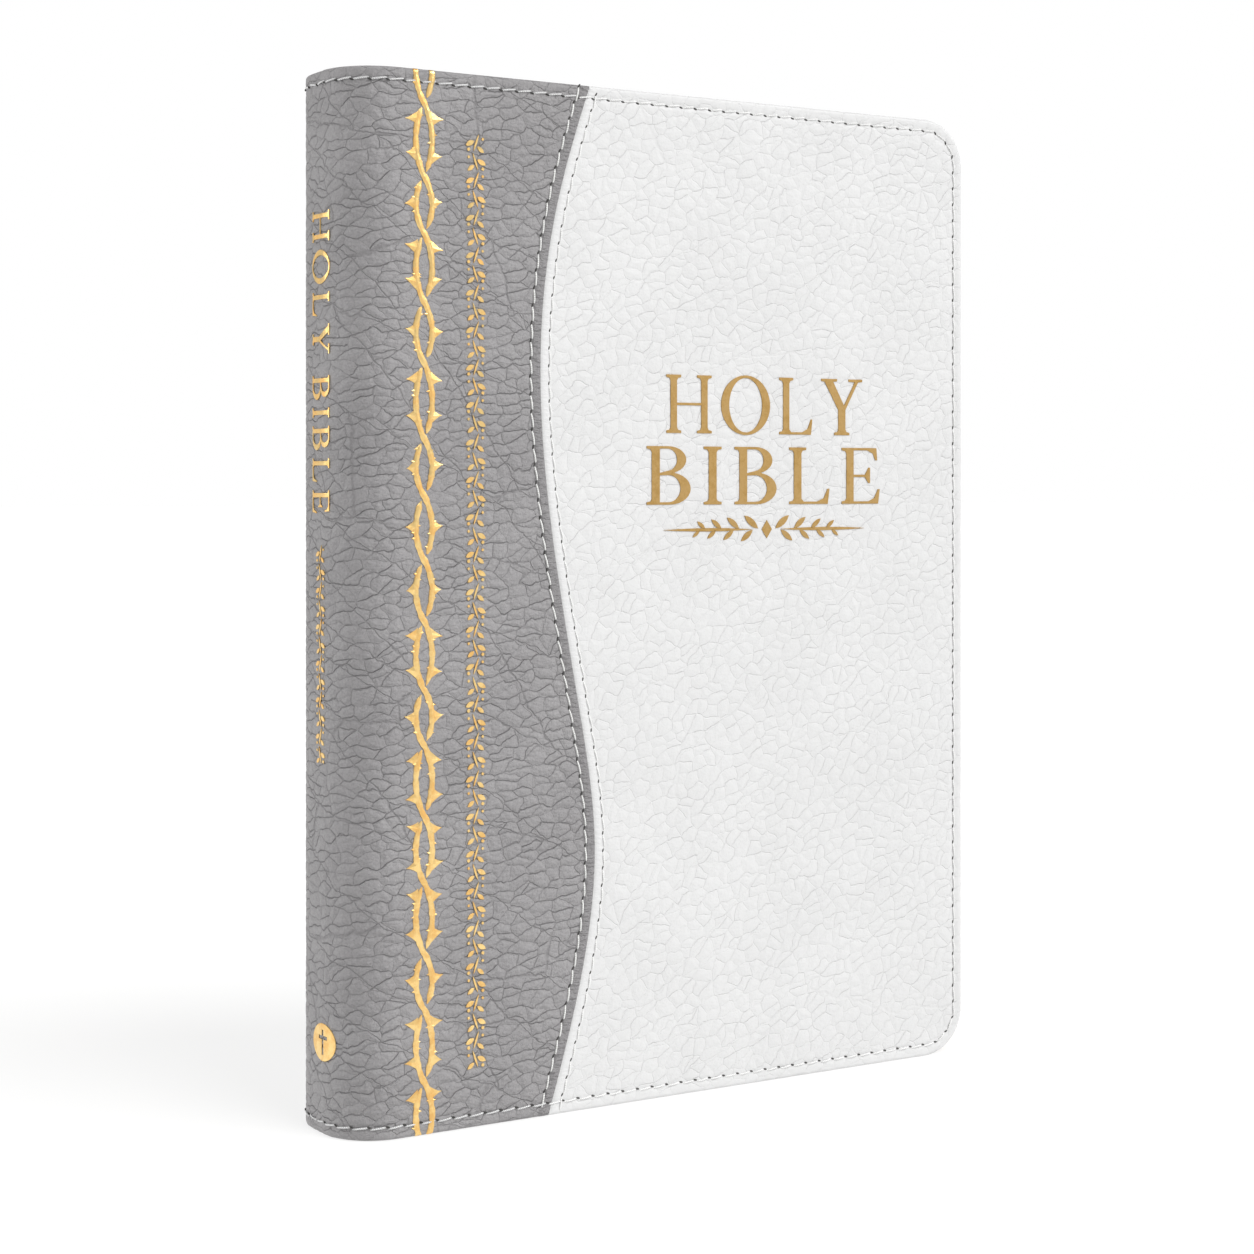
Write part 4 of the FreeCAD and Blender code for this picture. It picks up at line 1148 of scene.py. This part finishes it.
def giltMaterial():
    # burnished gilt on trimmed leaves: satin gold, streaked where the thin leaves meet
    material, tree = newFinish("burnishedEdgeGilding")
    place = addNode(tree, "ShaderNodeTexCoord").outputs["Object"]
    stretched = addNode(tree, "ShaderNodeVectorMath", {"operation": "MULTIPLY"},
                        {0: place, 1: (25.0, 2600.0, 25.0)})
    leaves = addNode(tree, "ShaderNodeTexNoise", None,
                     {"Vector": stretched, "Scale": 1.0, "Detail": 3.0, "Roughness": 0.65})
    bump = addNode(tree, "ShaderNodeBump", None, {"Strength": 0.7, "Distance": 0.12 * mm, "Height": leaves})
    meeting = addNode(tree, "ShaderNodeMapRange", {"interpolation_type": "SMOOTHSTEP"},
                      {0: leaves, 1: 0.38, 2: 0.62})
    colour = addNode(tree, "ShaderNodeMix", {"data_type": "RGBA"},
                     {0: meeting, 6: paint("#c39a55"), 7: paint("#e6c283")})
    dull = addNode(tree, "ShaderNodeMapRange", None, {0: leaves, 3: 0.42, 4: 0.28})
    shader = addNode(tree, "ShaderNodeBsdfPrincipled", None,
                     {"Base Color": colour.outputs[2], "Metallic": 0.85, "Roughness": dull, "Normal": bump})
    addNode(tree, "ShaderNodeOutputMaterial", None, {0: shader})
    return material


edgeGilt = giltMaterial()


def sectionPiece(index):
    node = "page_section_%02d" % index
    low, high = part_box(node)
    chance = np.random.default_rng(700 + index)
    x0, x1 = low.x / mm + pages["fold"], high.x / mm
    z0, z1 = low.z / mm, high.z / mm
    middle, halfThick = (low.y + high.y) / 2 / mm, (high.y - low.y) / 2 / mm
    r = pages["corner"]
    parts, kinds = [], []
    bend = x1 - r + r * np.sin(np.radians(np.linspace(0, 90, 11)))
    stations = np.concatenate([[x0 - pages["fold"] + 0.02, x0 + 1, x0 + 4, x0 + pages["taper"]],
                               np.linspace(x0 + 30, x1 - r - 5, 4), bend])
    share = np.clip((stations - x0) / pages["taper"], 0, 1)
    spread = (pages["fold"] + (halfThick - pages["fold"]) * share) / halfThick
    cut = r - np.sqrt(np.maximum(r * r - np.clip(stations - (x1 - r), 0, r) ** 2, 0))
    pitch = 2 * halfThick / pages["leaves"]
    for leaf in range(pages["leaves"]):
        offset = -halfThick + pitch * (leaf + 0.5)
        trim = chance.uniform(0, pages["ragged"], 3)
        y = middle + offset * spread
        t = pitch * pages["fill"] / 2 * spread
        x = np.where(stations > x1 - r, stations - trim[0], stations)
        rings = [np.array([(a, b - c, z0 + d + trim[1]), (a, b + c, z0 + d + trim[1]),
                           (a, b + c, z1 - d - trim[2]), (a, b - c, z1 - d - trim[2])])
                 for a, b, c, d in zip(x, y, t, cut)]
        points, faces = tube(rings)
        parts.append((points, faces))
        kinds += [1, 0, 1, 0] * (len(stations) - 1) + [0, 1]
    piece = gathered("pageSection%02d" % index, parts, pagePaper)
    piece.data.materials.append(edgeGilt)
    piece.data.polygons.foreach_set("material_index", kinds)
    outwardFaces(piece)
    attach(piece, node)
    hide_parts(node)


for index in range(1, 17):
    sectionPiece(index)
say("page sections made")


def gutterPiece(name, side):
    # the endpaper's joint, from under the turn-in of the hinge to just over the edge of the pastedown
    depth = np.array([1.66, 1.66, 1.66, 1.7, 1.9, 2.2, 2.42, 2.46, 2.46, 2.46])
    s = coverStart + np.array([-3.4, -2.4, -1.2, -0.4, 0.2, 0.8, 1.3, 1.8, 3.0, 5.0])
    x, y = roundCase(s, depth, side)
    z = np.linspace(3.0, book["height"] - 3.0, 12)
    points = np.stack([x[None, :] + 0 * z[:, None], y[None, :] + 0 * z[:, None], z[:, None] + 0 * x[None, :]], -1)
    piece = meshOf(name + "GutterPaper", points.reshape(-1, 3) * mm,
                   gridFaces(len(z), len(x), flip=side < 0), endPaper)
    solid = piece.modifiers.new("thickness", "SOLIDIFY")
    solid.thickness = 0.1 * mm
    solid.offset = -1
    bpy.context.view_layer.update()
    mesh = bpy.data.meshes.new_from_object(piece.evaluated_get(bpy.context.evaluated_depsgraph_get()))
    piece.modifiers.clear()
    piece.data = mesh
    smooth(piece)
    blendHinge(piece)


for name, side in (("front", -1), ("back", 1)):
    gutterPiece(name, side)
    for part in ("_pastedown", "_flyleaf"):
        frame["nodes"][name + part].data.materials.clear()
        frame["nodes"][name + part].data.materials.append(endPaper)


def wovenMaterial(name, colour, shade, thread):
    # plain woven cloth: over and under threads as a small bump and tone
    material, tree = newFinish(name)
    place = addNode(tree, "ShaderNodeTexCoord").outputs["Object"]
    height = 0.0
    for direction in ("X", "Y", "Z"):
        wave = addNode(tree, "ShaderNodeTexWave", {"wave_type": "BANDS", "bands_direction": direction},
                       {"Vector": place, "Scale": 0.314 / (thread * mm), "Distortion": 0.4})
        height = addNode(tree, "ShaderNodeMath", {"operation": "MAXIMUM"}, {0: height, 1: wave.outputs["Fac"]})
    bump = addNode(tree, "ShaderNodeBump", None, {"Strength": 0.6, "Distance": 0.1 * mm, "Height": height})
    colour = addNode(tree, "ShaderNodeMix", {"data_type": "RGBA"}, {0: height, 6: paint(shade), 7: paint(colour)})
    shader = addNode(tree, "ShaderNodeBsdfPrincipled", None,
                     {"Base Color": colour.outputs[2], "Normal": bump, "Roughness": 0.85, "Specular IOR Level": 0.15,
                      "Sheen Weight": 0.2})
    addNode(tree, "ShaderNodeOutputMaterial", None, {0: shader})
    return material


def bandMaterial():
    # silk worked headband: alternating stripes of two thread colours wound over a core
    material, tree = newFinish("stripedSilkHeadband")
    place = addNode(tree, "ShaderNodeTexCoord").outputs["Object"]
    stripes = addNode(tree, "ShaderNodeTexWave", {"wave_type": "BANDS", "bands_direction": "Y"},
                      {"Vector": place, "Scale": 0.314 / (1.5 * mm)}).outputs["Fac"]
    threads = addNode(tree, "ShaderNodeTexWave", {"wave_type": "BANDS", "bands_direction": "Y"},
                      {"Vector": place, "Scale": 0.314 / (0.28 * mm)}).outputs["Fac"]
    bump = addNode(tree, "ShaderNodeBump", None, {"Strength": 0.8, "Distance": 0.1 * mm, "Height": threads})
    sharp = addNode(tree, "ShaderNodeMapRange", {"interpolation_type": "SMOOTHSTEP"},
                    {0: stripes, 1: 0.45, 2: 0.55})
    colour = addNode(tree, "ShaderNodeMix", {"data_type": "RGBA"},
                     {0: sharp, 6: paint("#f2f0ea"), 7: paint("#9a9a98")})
    colour = addNode(tree, "ShaderNodeMix", {"data_type": "RGBA"},
                     {0: threads, 6: colour.outputs[2], 7: paint("#cfcdc6")})
    shader = addNode(tree, "ShaderNodeBsdfPrincipled", None,
                     {"Base Color": colour.outputs[2], "Normal": bump, "Roughness": 0.5, "Sheen Weight": 0.4})
    addNode(tree, "ShaderNodeOutputMaterial", None, {0: shader})
    return material


boardFinish = paperMaterial("greyBindersBoard", "#a39e95", "#8d8880", 500.0)
liningFinish = paperMaterial("spineLiningPaper", "#cbbfa6", "#b7a98d", 500.0)
clothFinish = wovenMaterial("whiteBindingCloth", "#e8e5dc", "#c9c5b9", 0.5)
linenFinish = wovenMaterial("waxedLinenThread", "#e4dcc8", "#c4b896", 0.3)
bandFinish = bandMaterial()
finishes = {"board": boardFinish, "infill": boardFinish, "inlay": boardFinish, "cloth": clothFinish,
            "mull": clothFinish, "threads": linenFinish, "lining_paper": liningFinish,
            "headband": bandFinish, "tailband": bandFinish}
for nodeName, nodeObject in frame["nodes"].items():
    for ending, finish in finishes.items():
        if nodeName.endswith(ending):
            nodeObject.data.materials.clear()
            nodeObject.data.materials.append(finish)
say("inner parts finished")


studio = {"floor": "#919190", "ambient": 0.3, "backdrop": 1.0, "floorGlow": 0.74,
          "right": 0.5, "left": 0.55, "front": 0.55, "lens": 70.12, "shiftY": -0.114,
          "cameraAt": (-272.6, -430.2, 124.6), "cameraTurn": -31.99}


def floorMaterial():
    # painted studio floor lit from under its own glaze: matt, faintly uneven roller texture
    material, tree = newFinish("paleStudioFloor")
    place = addNode(tree, "ShaderNodeTexCoord").outputs["Object"]
    roller = addNode(tree, "ShaderNodeTexNoise", None, {"Vector": place, "Scale": 6.0, "Detail": 4.0})
    colour = addNode(tree, "ShaderNodeMix", {"data_type": "RGBA"},
                     {0: roller, 6: paint(studio["floor"]), 7: paint("#8e8e8d")})
    shader = addNode(tree, "ShaderNodeBsdfPrincipled", None,
                     {"Base Color": colour.outputs[2], "Roughness": 0.9, "Specular IOR Level": 0.1,
                      "Emission Color": (1, 1, 1, 1), "Emission Strength": studio["floorGlow"]})
    addNode(tree, "ShaderNodeOutputMaterial", None, {0: shader})
    return material


reach = 12.0
floor = meshOf("studioFloor", [(-reach, -reach, 0), (reach, -reach, 0), (reach, reach, 0), (-reach, reach, 0)],
               [(0, 1, 2, 3)], floorMaterial())
floor.location.z = cadBox[0][2] - 0.0001

world = bpy.data.worlds.new("softStudio")
bpy.context.scene.world = world
world.use_nodes = True
sky = world.node_tree
sky.nodes.clear()
seen = addNode(sky, "ShaderNodeLightPath").outputs["Is Camera Ray"]
shine = addNode(sky, "ShaderNodeMapRange", None, {0: seen, 3: studio["ambient"], 4: studio["backdrop"]})
glow = addNode(sky, "ShaderNodeBackground", None, {"Color": (1, 1, 1, 1), "Strength": shine})
addNode(sky, "ShaderNodeOutputWorld", None, {"Surface": glow})


def softSun(name, source, strength, spread):
    # a distant softbox: even light over the whole floor, with a wide soft edge to its shadow
    lamp = bpy.data.lights.new(name, "SUN")
    lamp.energy = strength * math.pi
    lamp.angle = math.radians(spread)
    light = bpy.data.objects.new(name, lamp)
    bpy.context.scene.collection.objects.link(light)
    light.rotation_euler = Vector(source).to_track_quat("Z", "Y").to_euler()


softSun("rightSoftbox", (0.95, -0.85, 0.7), studio["right"], 24)
softSun("leftSoftbox", (-1.0, 0.6, 0.5), studio["left"], 40)
softSun("frontSoftbox", (0.25, -0.9, 1.3), studio["front"], 30)

camera = bpy.data.cameras.new("standingBookCamera")
camera.lens = studio["lens"]
camera.sensor_width = 36
camera.shift_y = studio["shiftY"]
camera.clip_start = 0.01
camera.clip_end = 60
cameraObject = bpy.data.objects.new("standingBookCamera", camera)
bpy.context.scene.collection.objects.link(cameraObject)
cameraObject.location = [value * mm for value in studio["cameraAt"]]
cameraObject.rotation_euler = (math.radians(90), 0, math.radians(studio["cameraTurn"]))
bpy.context.scene.camera = cameraObject
bpy.context.scene.view_settings.view_transform = "Standard"
say("studio set")
